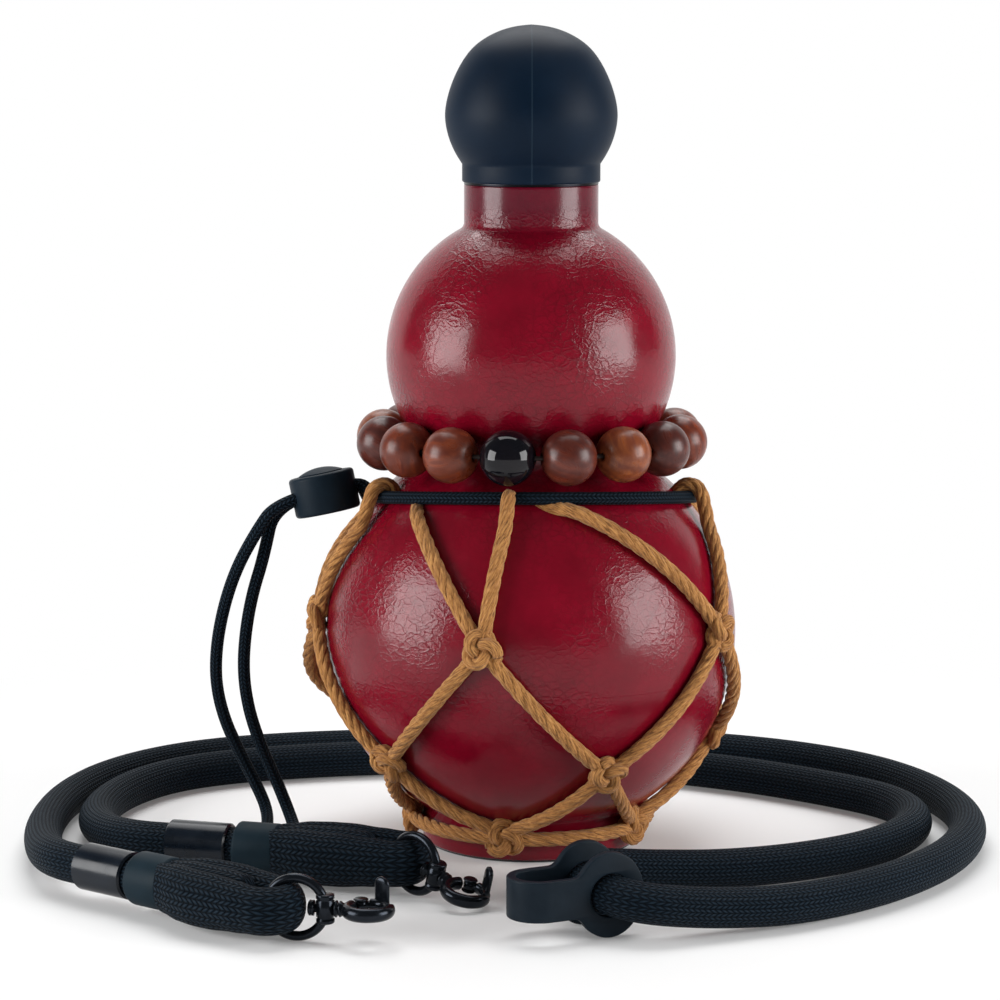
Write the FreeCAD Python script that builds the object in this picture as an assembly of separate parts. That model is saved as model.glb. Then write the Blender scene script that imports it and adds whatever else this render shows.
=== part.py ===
"""Gourd water bottle: screw cap, bead bracelet, net with drawcord and lock, rope strap with two clasps.

Millimetres, origin at the foot's centre on the floor, +Z up, the photographed front faces -Y.
"""
import FreeCAD, Part

import math
import os

V = FreeCAD.Vector
UP = V(0, 0, 1)

# General clearances
RUN_CLEARANCE = 0.06
SEAT_CLEARANCE = 0.05
SOFT_CLEARANCE = 0.15
OVERRUN = 5.0

# Bottle: two round chambers on a short foot, joined by a filleted waist, with a straight neck
LOWER_RADIUS = 56.0
LOWER_LIFT = 2.0
UPPER_RADIUS = 39.2
WAIST_RADIUS = 31.0
WAIST_FILLET = 6.0
NECK_RADIUS = 18.1
NECK_FILLET = 2.0
NECK_HEIGHT = 10.3
FOOT_RADIUS = 29.6
SKIRT_LIFT = 0.6
SHELL_WALL = 0.9
VACUUM_GAP = 3.6
LINER_WALL = 0.7
PAD_THICKNESS = 1.6
BASE_THICKNESS = 1.0

LOWER_Z = LOWER_RADIUS + LOWER_LIFT
WAIST_CENTRE_R = WAIST_RADIUS + WAIST_FILLET
WAIST_Z = LOWER_Z + math.sqrt((LOWER_RADIUS + WAIST_FILLET) ** 2 - WAIST_CENTRE_R ** 2)
UPPER_Z = WAIST_Z + math.sqrt((UPPER_RADIUS + WAIST_FILLET) ** 2 - WAIST_CENTRE_R ** 2)
NECK_FILLET_R = NECK_RADIUS + NECK_FILLET
NECK_BASE_Z = UPPER_Z + math.sqrt((UPPER_RADIUS + NECK_FILLET) ** 2 - NECK_FILLET_R ** 2)
NECK_TOP_Z = NECK_BASE_Z + NECK_HEIGHT
LINER_OFFSET = SHELL_WALL + VACUUM_GAP
BORE_OFFSET = LINER_OFFSET + LINER_WALL
MOUTH_RADIUS = NECK_RADIUS - BORE_OFFSET

# Mouth ring with its outside thread, and the cap that screws on it
FLANGE_THICKNESS = 1.5
MOUTH_WALL = 1.7
MOUTH_HEIGHT = 13.0
THREAD_LEAD = 3.5
THREAD_WIDTH = 1.3
THREAD_TIP_SHARE = 0.55
THREAD_HEIGHT = 0.9
THREAD_GAP = 0.4
THREAD_ROOT = 0.25
MOUTH_THREAD_TURNS = 2
MOUTH_THREAD_START = 2.0
CAP_THREAD_TURNS = 1
CAP_COLLAR_GAP = 0.8
CAP_COLLAR_RADIUS = 18.6
CAP_COLLAR_HEIGHT = 4.6
CAP_RADIUS = 23.3
CAP_WALL = 3.0
CAP_CROWN_HEIGHT = 23.0
CAP_CROWN_RADIUS = 23.7
CAP_SHOULDER_RADIUS = 16.4
CAP_FLANK_RADIUS = 20.5
CAP_FLANK_HEIGHT = 9.6
CORE_WALL = 1.4
CORE_TOP = 2.0
SEAL_THICKNESS = 2.2
SEAL_INNER_RADIUS = 10.0
SEAL_GAP = 0.2

MOUTH_OUTER_R = MOUTH_RADIUS + MOUTH_WALL
MOUTH_TOP_Z = NECK_TOP_Z + MOUTH_HEIGHT
CORE_INNER_R = MOUTH_OUTER_R + THREAD_HEIGHT + THREAD_GAP
CORE_OUTER_R = CORE_INNER_R + CORE_WALL
CAP_BASE_Z = NECK_TOP_Z + CAP_COLLAR_GAP
CAP_COLLAR_TOP_Z = CAP_BASE_Z + CAP_COLLAR_HEIGHT
CAP_CENTRE_Z = CAP_COLLAR_TOP_Z + math.sqrt(CAP_RADIUS ** 2 - CAP_COLLAR_RADIUS ** 2)
CAP_CAVITY_R = CORE_OUTER_R + SEAT_CLEARANCE
SEAL_Z = MOUTH_TOP_Z + SEAL_GAP
CORE_TOP_Z = SEAL_Z + SEAL_THICKNESS + CORE_TOP

# Bracelet of round beads on an elastic cord, lying in the waist
BEAD_COUNT = 16
BEAD_DIAMETER = 14.0
BEAD_HOLE = 2.0
BEAD_CLEARANCE = 0.45
BEAD_RAISE = 2.31
BLACK_BEAD_AZIMUTH = -9.0
ELASTIC_DIAMETER = 1.2

BEAD_RADIUS = BEAD_DIAMETER / 2
BEAD_STEP = 360.0 / BEAD_COUNT
BEAD_REACH = UPPER_RADIUS + BEAD_RADIUS + BEAD_CLEARANCE
BRACELET_Z = WAIST_Z + BEAD_RAISE
BRACELET_RADIUS = math.sqrt(BEAD_REACH ** 2 - (UPPER_Z - BRACELET_Z) ** 2)

# Net of thin cord knotted over the lower chamber, hung from the drawcord
NET_CORD = 3.5
KNOT_DIAMETER = 9.4
KNOT_STAND = 3.0
NET_COLUMNS = 5
NET_COLUMN_STEP = 360.0 / NET_COLUMNS
NET_FIRST_AZIMUTH = -85.0
TOP_AZIMUTHS = (-56.0, -4.0, 90.0, 161.0, 232.0)
TOP_LEG_SPREAD = 4.6
ROW_HEIGHT_SHARES = (0.09, -0.51)
BASE_RING_RADIUS = 34.2
BASE_RING_Z = 10.6
LEG_STEPS = 4

NET_STAND = NET_CORD / 2 + 2 * SOFT_CLEARANCE

# Drawcord round the top of the net, in a plane whose front is raised
DRAWCORD = 3.4
DRAWCORD_DROP = 15.1
DRAWCORD_TILT = 7.5
DRAWCORD_BEND = 3.2
STRAND_GAP = 0.1

DRAW_Z = BRACELET_Z - DRAWCORD_DROP
DRAW_REACH = LOWER_RADIUS + DRAWCORD / 2 + SOFT_CLEARANCE
DRAW_TILT_RAD = math.radians(DRAWCORD_TILT)
DRAW_NORMAL = V(0, math.sin(DRAW_TILT_RAD), math.cos(DRAW_TILT_RAD))
DRAW_OFFSET = (DRAW_Z - LOWER_Z) * math.cos(DRAW_TILT_RAD)
DRAW_CENTRE = V(0, 0, LOWER_Z) + DRAW_NORMAL * DRAW_OFFSET
DRAW_RADIUS = math.sqrt(DRAW_REACH ** 2 - DRAW_OFFSET ** 2)

# Cord lock: a round body with a sprung button, both crossed by the cord's two strands
LOCK_AZIMUTH = 12.0
LOCK_PITCH = 12.0
LOCK_DIAMETER = 17.8
LOCK_HEIGHT = 10.8
LOCK_EDGE = 1.0
LOCK_STAND = 3.0
LOCK_FLOOR = 0.9
CORD_RAISE = 0.6
STRAND_SPACING = 3.9
CORD_ROOM = 0.55
BUTTON_DIAMETER = 10.0
BUTTON_RISE = 1.2
BUTTON_DOME = 0.7
BUTTON_TRAVEL = 1.2
BUTTON_FLOOR = 0.8
SPRING_WIRE = 0.4
SPRING_DIAMETER = 5.0
SPRING_TURNS = 2
ARCS_PER_TURN = 4
TAIL_LEAD = 4.5

# Strap rope and the fittings at its two ends
ROPE_DIAMETER = 10.2
FERRULE_DIAMETER = 12.2
FERRULE_LENGTH = 17.0
FERRULE_CHAMFER = 0.5
FERRULE_GAP = 2.5
SLEEVE_LENGTH = 11.0
SLEEVE_HEIGHT = 13.0
SLEEVE_ROPE_WIDTH = 13.4
SLEEVE_EYE_WIDTH = 21.4
SLEEVE_SEAT = 3.2
EYE_SPREAD = 5.6
EYE_WIDTH = 8.0
EYE_HEIGHT = 10.2
EYE_LEG = 35.0
STRAP_LEAD = 73.0

# Clasp: round bow with a barrel, swivel claw with a sprung gate
BOW_WIRE = 2.4
BOW_RADIUS = 7.3
BARREL_DIAMETER = 4.6
BARREL_HEIGHT = 7.4
SWIVEL_PIN = 2.2
SWIVEL_HEAD = 4.0
SWIVEL_HEAD_THICKNESS = 1.4
SHANK_LENGTH = 1.8
CLAW_RADIUS = 6.6
CLAW_INNER_RADIUS = 3.7
CLAW_THICKNESS = 3.2
CLAW_EDGE = 0.4
GATE_PIVOT_ANGLE = 122.0
GATE_REACH = 7.95
GATE_GAP = 0.25
KNUCKLE_RADIUS = 1.9
KNUCKLE_THICKNESS = 1.3
KNUCKLE_CLEARANCE = 0.2
GATE_PIN = 1.0
TAB_WIDTH = 4.4
TAB_THICKNESS = 1.3
TAB_HEIGHT = 6.0

CLASP_Z = BOW_RADIUS + BOW_WIRE / 2
BARREL_OUT = BOW_RADIUS + BARREL_DIAMETER / 2
CLAW_CENTRE = BARREL_OUT + SHANK_LENGTH + CLAW_RADIUS
CLAW_MID_RADIUS = (CLAW_RADIUS + CLAW_INNER_RADIUS) / 2

# Leather tag: a strip bent in a U whose two disc ends carry the rope's bight
TAG_MIDDLE = V(15.5, -95.2, 0)
TAG_HEADING = 25.5
TAG_DISC_RADIUS = 10.75
TAG_HOLE_CLEARANCE = 1.5
TAG_STRIP_HEIGHT = 10.2
TAG_THICKNESS = 2.3
TAG_LEAF_SPACING = 13.2
TAG_LEAF_LENGTH = 18.5
TAG_FILLET = 4.0

TAG_HOLE_RADIUS = ROPE_DIAMETER / 2 + TAG_HOLE_CLEARANCE

# Where the two ends of the strap lie: the bow's hinge line, and the heading of the fittings
END_FRONT = {"hinge": V(-65.5, -103.3, CLASP_Z), "heading": -38.0, "bow": -10.0, "dip": 0.0}
END_REAR = {"hinge": V(-35.5, -57.5, CLASP_Z), "heading": -16.0, "bow": -42.0, "dip": 15.0}

# Route of the rope, from the front end's ferrule round the bottle, through the tag and back
ROPE_FLOOR = ROPE_DIAMETER / 2
ROPE_AT_TAG = TAG_DISC_RADIUS
STRAP_ROUTE = [
    V(-133.5, -38.5, 6.2),
    V(-138.8, -8.5, ROPE_FLOOR),
    V(-137.0, 25.0, ROPE_FLOOR),
    V(-126.0, 54.0, ROPE_FLOOR),
    V(-105.0, 76.0, ROPE_FLOOR),
    V(-74.0, 87.5, ROPE_FLOOR),
    V(-38.0, 93.0, ROPE_FLOOR),
    V(0.0, 95.5, ROPE_FLOOR),
    V(38.0, 92.5, ROPE_FLOOR),
    V(73.0, 81.0, ROPE_FLOOR),
    V(101.0, 59.0, ROPE_FLOOR),
    V(117.0, 28.0, ROPE_FLOOR),
    V(121.5, -7.0, ROPE_FLOOR),
    V(112.0, -41.0, ROPE_FLOOR),
    V(92.0, -69.5, ROPE_FLOOR),
    V(67.0, -90.0, ROPE_FLOOR),
    V(44.0, -99.5, 6.6),
    V(21.5, -108.5, ROPE_AT_TAG),
    V(9.0, -82.9, ROPE_AT_TAG),
    V(14.5, -70.5, 9.6),
    V(30.0, -62.0, 6.8),
    V(50.0, -55.5, ROPE_FLOOR),
    V(73.0, -47.0, ROPE_FLOOR),
    V(94.0, -31.0, ROPE_FLOOR),
    V(107.0, -7.0, ROPE_FLOOR),
    V(104.0, 17.0, ROPE_FLOOR),
    V(86.0, 36.0, ROPE_FLOOR),
    V(60.0, 55.5, ROPE_FLOOR),
    V(29.0, 70.0, ROPE_FLOOR),
    V(-7.0, 77.5, ROPE_FLOOR),
    V(-44.0, 76.0, ROPE_FLOOR),
    V(-79.0, 68.0, ROPE_FLOOR),
    V(-106.0, 55.0, ROPE_FLOOR),
    V(-121.0, 32.0, ROPE_FLOOR),
    V(-125.5, 4.0, ROPE_FLOOR),
    V(-119.5, -20.5, 6.4),
]

# Free doubled tail of the drawcord, from the lock down to a fold on the floor and back up
TAIL_FLOOR = DRAWCORD / 2
TAIL_ROUTE = [
    V(-74.2, -10.0, 83.2),
    V(-79.8, -7.0, 74.2),
    V(-83.8, -4.0, 64.2),
    V(-86.2, -1.0, 53.6),
    V(-86.8, 2.5, 42.8),
    V(-85.0, 6.0, 32.2),
    V(-81.2, 9.5, 22.0),
    V(-77.0, 12.0, 12.6),
    V(-73.8, 12.0, 5.2),
    V(-73.0, 5.0, TAIL_FLOOR),
    V(-73.4, -3.5, TAIL_FLOOR),
    V(-72.4, -11.0, TAIL_FLOOR),
    V(-65.4, -11.0, TAIL_FLOOR),
    V(-64.6, -3.5, TAIL_FLOOR),
    V(-65.6, 4.0, TAIL_FLOOR),
    V(-68.2, 9.0, 7.0),
    V(-71.4, 8.0, 15.6),
    V(-75.0, 5.5, 25.0),
    V(-77.8, 2.5, 35.2),
    V(-79.0, 0.0, 46.0),
    V(-78.2, -2.0, 57.0),
    V(-76.0, -4.0, 67.4),
    V(-72.6, -5.6, 77.0),
]

ARC_SHARE = 0.45


def cylinder(base, axis, radius, length):
    return Part.makeCylinder(radius, length, base, axis)


def placed(shape, origin, along, up=UP):
    """Copy of a shape built on local X along, local Z up, set at origin."""
    side = up.cross(along)
    frame = FreeCAD.Placement(origin, FreeCAD.Rotation(along, side, up, "XZY"))
    moved = shape.copy()
    moved.Placement = frame.multiply(moved.Placement)
    return moved


def heading(degrees):
    angle = math.radians(degrees)
    return V(math.cos(angle), math.sin(angle), 0)


def bearing(azimuth):
    """Direction seen from above, 0 at the front and positive towards the right."""
    angle = math.radians(azimuth)
    return V(math.sin(angle), -math.cos(angle), 0)


def rounded_edges(points):
    """Straight runs joined by tangent arcs as large as their runs allow, and the arcs' radii."""
    edges = []
    radii = []
    start = points[0]
    for before, corner, after in zip(points, points[1:], points[2:]):
        into = (corner - before).normalize()
        out = (after - corner).normalize()
        turn = into.getAngle(out)
        reach = ARC_SHARE * min((corner - before).Length, (after - corner).Length)
        first = corner - into * reach
        last = corner + out * reach
        radius = reach / math.tan(turn / 2)
        bisector = (out - into).normalize()
        middle = corner + bisector * (radius / math.cos(turn / 2) - radius)
        edges.append(Part.LineSegment(start, first).toShape())
        edges.append(Part.Arc(first, middle, last).toShape())
        radii.append(radius)
        start = last
    edges.append(Part.LineSegment(start, points[-1]).toShape())
    return edges, radii


def tube(edges, diameter):
    """Round solid swept along joined edges."""
    path = Part.Wire(edges)
    first = path.OrderedEdges[0]
    begin = path.OrderedVertexes[0].Point
    tangent = first.tangentAt(first.FirstParameter)
    profile = Part.Wire(Part.Circle(begin, tangent, diameter / 2).toShape())
    return path.makePipeShell([profile], True, False)


def report_cord(name, solid, edges, radii, diameter):
    length = sum(edge.Length for edge in edges)
    section = math.pi * diameter ** 2 / 4
    print(name, "length", round(length, 1), "volume ratio", round(solid.Volume / (section * length), 4))
    print(name, "radii", [round(radius, 1) for radius in radii])


def revolved(edges):
    return Part.Face(Part.Wire(edges)).revolve(V(0, 0, 0), UP, 360)


def line(first, last):
    return Part.LineSegment(first, last).toShape()


def arc(first, middle, last):
    return Part.Arc(first, middle, last).toShape()


def on_circle(radius, centre_r, centre_z, angle):
    return V(centre_r + radius * math.cos(angle), 0, centre_z + radius * math.sin(angle))


def gourd_edges(offset, bottom_angle):
    """Right-hand outline of the gourd, moved inwards by offset, from a point on the lower ball to the neck's top."""
    lower = LOWER_RADIUS - offset
    upper = UPPER_RADIUS - offset
    waist = WAIST_FILLET + offset
    neck = NECK_FILLET + offset
    low_tangent = math.atan2(WAIST_Z - LOWER_Z, WAIST_CENTRE_R)
    high_tangent = math.atan2(WAIST_Z - UPPER_Z, WAIST_CENTRE_R)
    neck_tangent = math.atan2(NECK_BASE_Z - UPPER_Z, NECK_FILLET_R)
    start = on_circle(lower, 0, LOWER_Z, bottom_angle)
    low = on_circle(lower, 0, LOWER_Z, low_tangent)
    high = on_circle(upper, 0, UPPER_Z, high_tangent)
    shoulder = on_circle(upper, 0, UPPER_Z, neck_tangent)
    neck_base = V(NECK_RADIUS - offset, 0, NECK_BASE_Z)
    neck_top = V(NECK_RADIUS - offset, 0, NECK_TOP_Z)
    neck_middle = (math.pi + neck_tangent + math.pi) / 2
    edges = [
        arc(start, on_circle(lower, 0, LOWER_Z, (bottom_angle + low_tangent) / 2), low),
        arc(low, V(WAIST_CENTRE_R - waist, 0, WAIST_Z), high),
        arc(high, on_circle(upper, 0, UPPER_Z, (high_tangent + neck_tangent) / 2), shoulder),
        arc(shoulder, on_circle(neck, NECK_FILLET_R, NECK_BASE_Z, neck_middle), neck_base),
        line(neck_base, neck_top),
    ]
    return edges, start, neck_top


def outer_shell():
    skirt_angle = -math.acos(FOOT_RADIUS / LOWER_RADIUS)
    inner_foot = FOOT_RADIUS - SHELL_WALL
    inner_angle = -math.acos(inner_foot / (LOWER_RADIUS - SHELL_WALL))
    outer, outer_start, outer_top = gourd_edges(0, skirt_angle)
    inner, inner_start, inner_top = gourd_edges(SHELL_WALL, inner_angle)
    outer_foot = V(FOOT_RADIUS, 0, SKIRT_LIFT)
    inner_edge = V(inner_foot, 0, SKIRT_LIFT)
    ends = [
        line(outer_foot, outer_start),
        line(outer_top, inner_top),
        line(inner_start, inner_edge),
        line(inner_edge, outer_foot),
    ]
    return revolved(Part.__sortEdges__(outer + inner + ends))


def shell_halves():
    """The lower and the upper half of the shell, which meet at the waist's weld."""
    whole = outer_shell()
    below = cylinder(V(0, 0, -OVERRUN), UP, LOWER_RADIUS + OVERRUN, WAIST_Z + OVERRUN)
    return whole.common(below), whole.cut(below)


def inner_liner():
    outer, outer_start, outer_top = gourd_edges(LINER_OFFSET, -math.pi / 2)
    inner, inner_start, inner_top = gourd_edges(BORE_OFFSET, -math.pi / 2)
    ends = [line(outer_top, inner_top), line(inner_start, outer_start)]
    return revolved(Part.__sortEdges__(outer + inner + ends))


def base_plate():
    return cylinder(V(0, 0, PAD_THICKNESS), UP, FOOT_RADIUS - SHELL_WALL - SEAT_CLEARANCE, BASE_THICKNESS)


def foot_pad():
    return cylinder(V(0, 0, 0), UP, FOOT_RADIUS - SHELL_WALL - SEAT_CLEARANCE, PAD_THICKNESS)


def thread(radius, height, start_z, turns):
    """Right-hand helical ridge; a negative height points it inwards."""
    helix = Part.makeHelix(THREAD_LEAD, THREAD_LEAD * turns, radius)
    root = radius - math.copysign(THREAD_ROOT, height)
    tip = radius + height
    half = THREAD_WIDTH / 2
    tip_half = half * THREAD_TIP_SHARE
    corners = [V(root, 0, -half), V(tip, 0, -tip_half), V(tip, 0, tip_half), V(root, 0, half)]
    profile = Part.makePolygon(corners + corners[:1])
    ridge = Part.Wire(helix.Edges).makePipeShell([profile], True, True)
    ridge.translate(V(0, 0, start_z))
    return ridge


def ring(outer, inner, low, high):
    solid = cylinder(V(0, 0, low), UP, outer, high - low)
    return solid.cut(cylinder(V(0, 0, low - OVERRUN), UP, inner, high - low + 2 * OVERRUN))


def mouth_ring():
    flange = ring(NECK_RADIUS, MOUTH_RADIUS, NECK_TOP_Z, NECK_TOP_Z + FLANGE_THICKNESS / 2)
    wall = ring(MOUTH_OUTER_R, MOUTH_RADIUS, NECK_TOP_Z, MOUTH_TOP_Z)
    ridge = thread(MOUTH_OUTER_R, THREAD_HEIGHT, NECK_TOP_Z + MOUTH_THREAD_START + THREAD_WIDTH / 2,
                   MOUTH_THREAD_TURNS)
    return flange.fuse(wall).removeSplitter().fuse(ridge)


def cap_outline(offset):
    """Half outline of the cap's ball from its collar to its crown, moved inwards by offset."""
    ball = CAP_RADIUS - offset
    collar_r = CAP_COLLAR_RADIUS - offset
    collar_angle = -math.acos(collar_r / ball)
    collar_foot = V(collar_r, 0, CAP_BASE_Z)
    collar_top = on_circle(ball, 0, CAP_CENTRE_Z, collar_angle)
    widest = V(ball, 0, CAP_CENTRE_Z)
    flank = V(CAP_FLANK_RADIUS - offset, 0, CAP_CENTRE_Z + CAP_FLANK_HEIGHT)
    crown_z = CAP_CENTRE_Z + CAP_CROWN_HEIGHT - CAP_CROWN_RADIUS
    crown_r = CAP_CROWN_RADIUS - offset
    shoulder_angle = math.acos(CAP_SHOULDER_RADIUS / CAP_CROWN_RADIUS)
    shoulder = on_circle(crown_r, 0, crown_z, shoulder_angle)
    crown = V(0, 0, crown_z + crown_r)
    edges = [
        line(collar_foot, collar_top),
        arc(collar_top, on_circle(ball, 0, CAP_CENTRE_Z, collar_angle / 2), widest),
        arc(widest, flank, shoulder),
        arc(shoulder, on_circle(crown_r, 0, crown_z, (shoulder_angle + math.pi / 2) / 2), crown),
    ]
    return edges, collar_foot, crown


def cap_cover():
    outside, foot, crown = cap_outline(0)
    axis_foot = V(0, 0, CAP_BASE_Z)
    ball = revolved(outside + [line(crown, axis_foot), line(axis_foot, foot)])
    hollow_edges, hollow_foot, hollow_crown = cap_outline(CAP_WALL)
    hollow = revolved(hollow_edges + [line(hollow_crown, axis_foot), line(axis_foot, hollow_foot)])
    socket = cylinder(V(0, 0, CAP_BASE_Z - OVERRUN), UP, CAP_CAVITY_R, CORE_TOP_Z - CAP_BASE_Z + OVERRUN)
    return ball.cut(hollow.fuse(socket))


def cap_core():
    low = CAP_BASE_Z
    wall = ring(CORE_OUTER_R, CORE_INNER_R, low, CORE_TOP_Z)
    top = cylinder(V(0, 0, CORE_TOP_Z - CORE_TOP), UP, CORE_OUTER_R, CORE_TOP)
    start = NECK_TOP_Z + MOUTH_THREAD_START + THREAD_WIDTH / 2 + THREAD_LEAD / 2
    ridge = thread(CORE_INNER_R, -THREAD_HEIGHT, start, CAP_THREAD_TURNS)
    return wall.fuse([top, ridge])


def cap_seal():
    return ring(CORE_INNER_R - SEAT_CLEARANCE, SEAL_INNER_RADIUS, SEAL_Z, SEAL_Z + SEAL_THICKNESS)


def bead(index):
    centre = bearing(BLACK_BEAD_AZIMUTH + index * BEAD_STEP) * BRACELET_RADIUS + V(0, 0, BRACELET_Z)
    tangent = UP.cross(centre).normalize()
    hole = cylinder(centre - tangent * BEAD_DIAMETER, tangent, BEAD_HOLE / 2, 2 * BEAD_DIAMETER)
    return Part.makeSphere(BEAD_RADIUS, centre).cut(hole)


def bracelet_cord():
    """Elastic whose bow through each straight hole lies evenly about the hole's axis."""
    sag = BEAD_RADIUS ** 2 / (2 * BRACELET_RADIUS)
    return Part.makeTorus(BRACELET_RADIUS + sag / 2, ELASTIC_DIAMETER / 2, V(0, 0, BRACELET_Z))


def on_ball(direction, stand):
    """Point over the lower ball in a direction from its centre, stand above its surface."""
    return V(0, 0, LOWER_Z) + direction * (LOWER_RADIUS + stand)


def knot_direction(row, column):
    azimuth = NET_FIRST_AZIMUTH + NET_COLUMN_STEP * (column + row / 2)
    rise = ROW_HEIGHT_SHARES[row]
    return bearing(azimuth) * math.sqrt(1 - rise ** 2) + UP * rise


def base_knot_point(column):
    return bearing(NET_FIRST_AZIMUTH + NET_COLUMN_STEP * column) * BASE_RING_RADIUS + V(0, 0, BASE_RING_Z)


def base_direction(column):
    return (base_knot_point(column) - V(0, 0, LOWER_Z)).normalize()


def knot_ball(direction):
    return Part.makeSphere(KNOT_DIAMETER / 2, on_ball(direction, KNOT_STAND), direction)


def knot_balls():
    balls = []
    for column in range(NET_COLUMNS):
        for row in range(len(ROW_HEIGHT_SHARES)):
            balls.append(knot_ball(knot_direction(row, column)))
        balls.append(knot_ball(base_direction(column)))
    return balls


def bottle_clearance():
    """The bottle's outside, grown by the soft clearance, for trimming the net."""
    ball = Part.makeSphere(LOWER_RADIUS + SOFT_CLEARANCE, V(0, 0, LOWER_Z))
    foot = cylinder(V(0, 0, 0), UP, FOOT_RADIUS + SOFT_CLEARANCE, LOWER_Z)
    return ball.fuse(foot)


def leg_points(first, last, low_stand, high_stand):
    """Points of a leg over the lower ball, evenly turned from one direction to another."""
    turn = first.getAngle(last)
    axis = first.cross(last)
    points = []
    for step in range(LEG_STEPS + 1):
        share = step / LEG_STEPS
        spin = FreeCAD.Rotation(axis, math.degrees(turn * share))
        stand = low_stand + (high_stand - low_stand) * share
        points.append(on_ball(spin.multVec(first), stand))
    return points


def net_leg(points, cutters):
    edges, _ = rounded_edges(points)
    return tube(edges, NET_CORD).cut(cutters)


def drawcord_point(azimuth):
    """Point of the drawcord's ring whose bearing from its centre is azimuth."""
    out = bearing(azimuth)
    out = (out - DRAW_NORMAL * out.dot(DRAW_NORMAL)).normalize()
    return DRAW_CENTRE + out * DRAW_RADIUS


def top_leg_points(knot, azimuth, shift):
    """Leg from a knot up to the drawcord, then over it and down behind."""
    ring_point = drawcord_point(azimuth)
    outward = (ring_point - V(0, 0, LOWER_Z)).normalize()
    along = DRAW_NORMAL.cross(outward).normalize()
    rising = outward.cross(along)
    reach = (DRAWCORD + NET_CORD) / 2 + SOFT_CLEARANCE
    foot = ring_point + along * shift
    below = foot - rising * (2 * reach) + outward * (reach / 2)
    points = leg_points(knot, (below - V(0, 0, LOWER_Z)).normalize(), NET_STAND, NET_STAND + SOFT_CLEARANCE)
    outside = foot + outward * reach - rising * (reach / 2)
    over = foot + outward * reach + rising * reach
    behind = foot - outward * (reach / 2) + rising * reach
    return points[:-1] + [below, outside, over, behind]


def net_top_legs(cutters):
    legs = []
    for column, azimuth in enumerate(TOP_AZIMUTHS):
        left = knot_direction(0, column)
        right = knot_direction(0, column + 1)
        legs.append(net_leg(top_leg_points(left, azimuth, -TOP_LEG_SPREAD / 2), cutters))
        legs.append(net_leg(top_leg_points(right, azimuth, TOP_LEG_SPREAD / 2), cutters))
    return legs


def net_middle_legs(cutters):
    legs = []
    for column in range(NET_COLUMNS):
        low = knot_direction(1, column)
        for high in (knot_direction(0, column), knot_direction(0, column + 1)):
            legs.append(net_leg(leg_points(high, low, NET_STAND, NET_STAND), cutters))
    return legs


def net_bottom_legs(cutters):
    legs = []
    for column in range(NET_COLUMNS):
        high = knot_direction(1, column)
        for low in (base_direction(column), base_direction(column + 1)):
            legs.append(net_leg(leg_points(high, low, NET_STAND, NET_STAND), cutters))
    return legs


def cord_net():
    """The whole net: knots, the legs between them and the ring under the lower ball, joined."""
    bottle = bottle_clearance()
    balls = knot_balls()
    bead_path = Part.makeTorus(BRACELET_RADIUS, BEAD_RADIUS + 2 * SOFT_CLEARANCE, V(0, 0, BRACELET_Z))
    cutters = balls + [bottle]
    base_ring = Part.makeTorus(BASE_RING_RADIUS, NET_CORD / 2, V(0, 0, BASE_RING_Z)).cut(cutters)
    knots = [ball.cut(bottle) for ball in balls]
    legs = net_top_legs(cutters + [bead_path]) + net_middle_legs(cutters) + net_bottom_legs(cutters)
    return knots[0].fuse(knots[1:] + legs + [base_ring])


def lock_frame():
    """Middle of the lock, the way its cords leave it, and its button's axis."""
    out = bearing(-90 + LOCK_AZIMUTH)
    out = (out - DRAW_NORMAL * out.dot(DRAW_NORMAL)).normalize()
    side = DRAW_NORMAL.cross(out)
    dip = FreeCAD.Rotation(side, LOCK_PITCH)
    along = dip.multVec(out)
    up = dip.multVec(DRAW_NORMAL)
    middle = DRAW_CENTRE + out * (DRAW_RADIUS + LOCK_STAND) + along * (LOCK_DIAMETER / 2) - up * CORD_RAISE
    return middle, along, up


def drawcord_end(side_sign):
    """Tangent point on the ring, the corner and the end inside the lock, for one strand."""
    middle, along, up = lock_frame()
    side = up.cross(along)
    lane = middle + side * (side_sign * STRAND_SPACING / 2) + up * CORD_RAISE
    turn_in = DRAWCORD_BEND
    out = (along - DRAW_NORMAL * along.dot(DRAW_NORMAL)).normalize()
    spin = math.asin((STRAND_SPACING / 2 + turn_in) / DRAW_RADIUS)
    radial = FreeCAD.Rotation(DRAW_NORMAL, math.degrees(spin) * side_sign).multVec(out)
    start = DRAW_CENTRE + radial * DRAW_RADIUS
    tangent = radial.cross(DRAW_NORMAL) * side_sign
    corner = start + tangent * turn_in
    return start, corner, lane - along * STRAND_GAP


def waist_drawcord():
    left_start, left_corner, left_end = drawcord_end(1)
    right_start, right_corner, right_end = drawcord_end(-1)
    middle, along, _ = lock_frame()
    out = (along - DRAW_NORMAL * along.dot(DRAW_NORMAL)).normalize()
    far = DRAW_CENTRE - out * DRAW_RADIUS
    edges = [arc(left_start, far, right_start)]
    for start, corner, end in ((right_start, right_corner, right_end), (left_start, left_corner, left_end)):
        into = (corner - start).normalize()
        leave = (end - corner).normalize()
        reach = (corner - start).Length
        turn = into.getAngle(leave)
        radius = reach / math.tan(turn / 2)
        bisector = (leave - into).normalize()
        bend = arc(start, corner + bisector * (radius / math.cos(turn / 2) - radius), corner + leave * reach)
        edges += [bend, line(corner + leave * reach, end)]
    ordered = [edges[4], edges[3], edges[0], edges[1], edges[2]]
    return tube(ordered, DRAWCORD)


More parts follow.
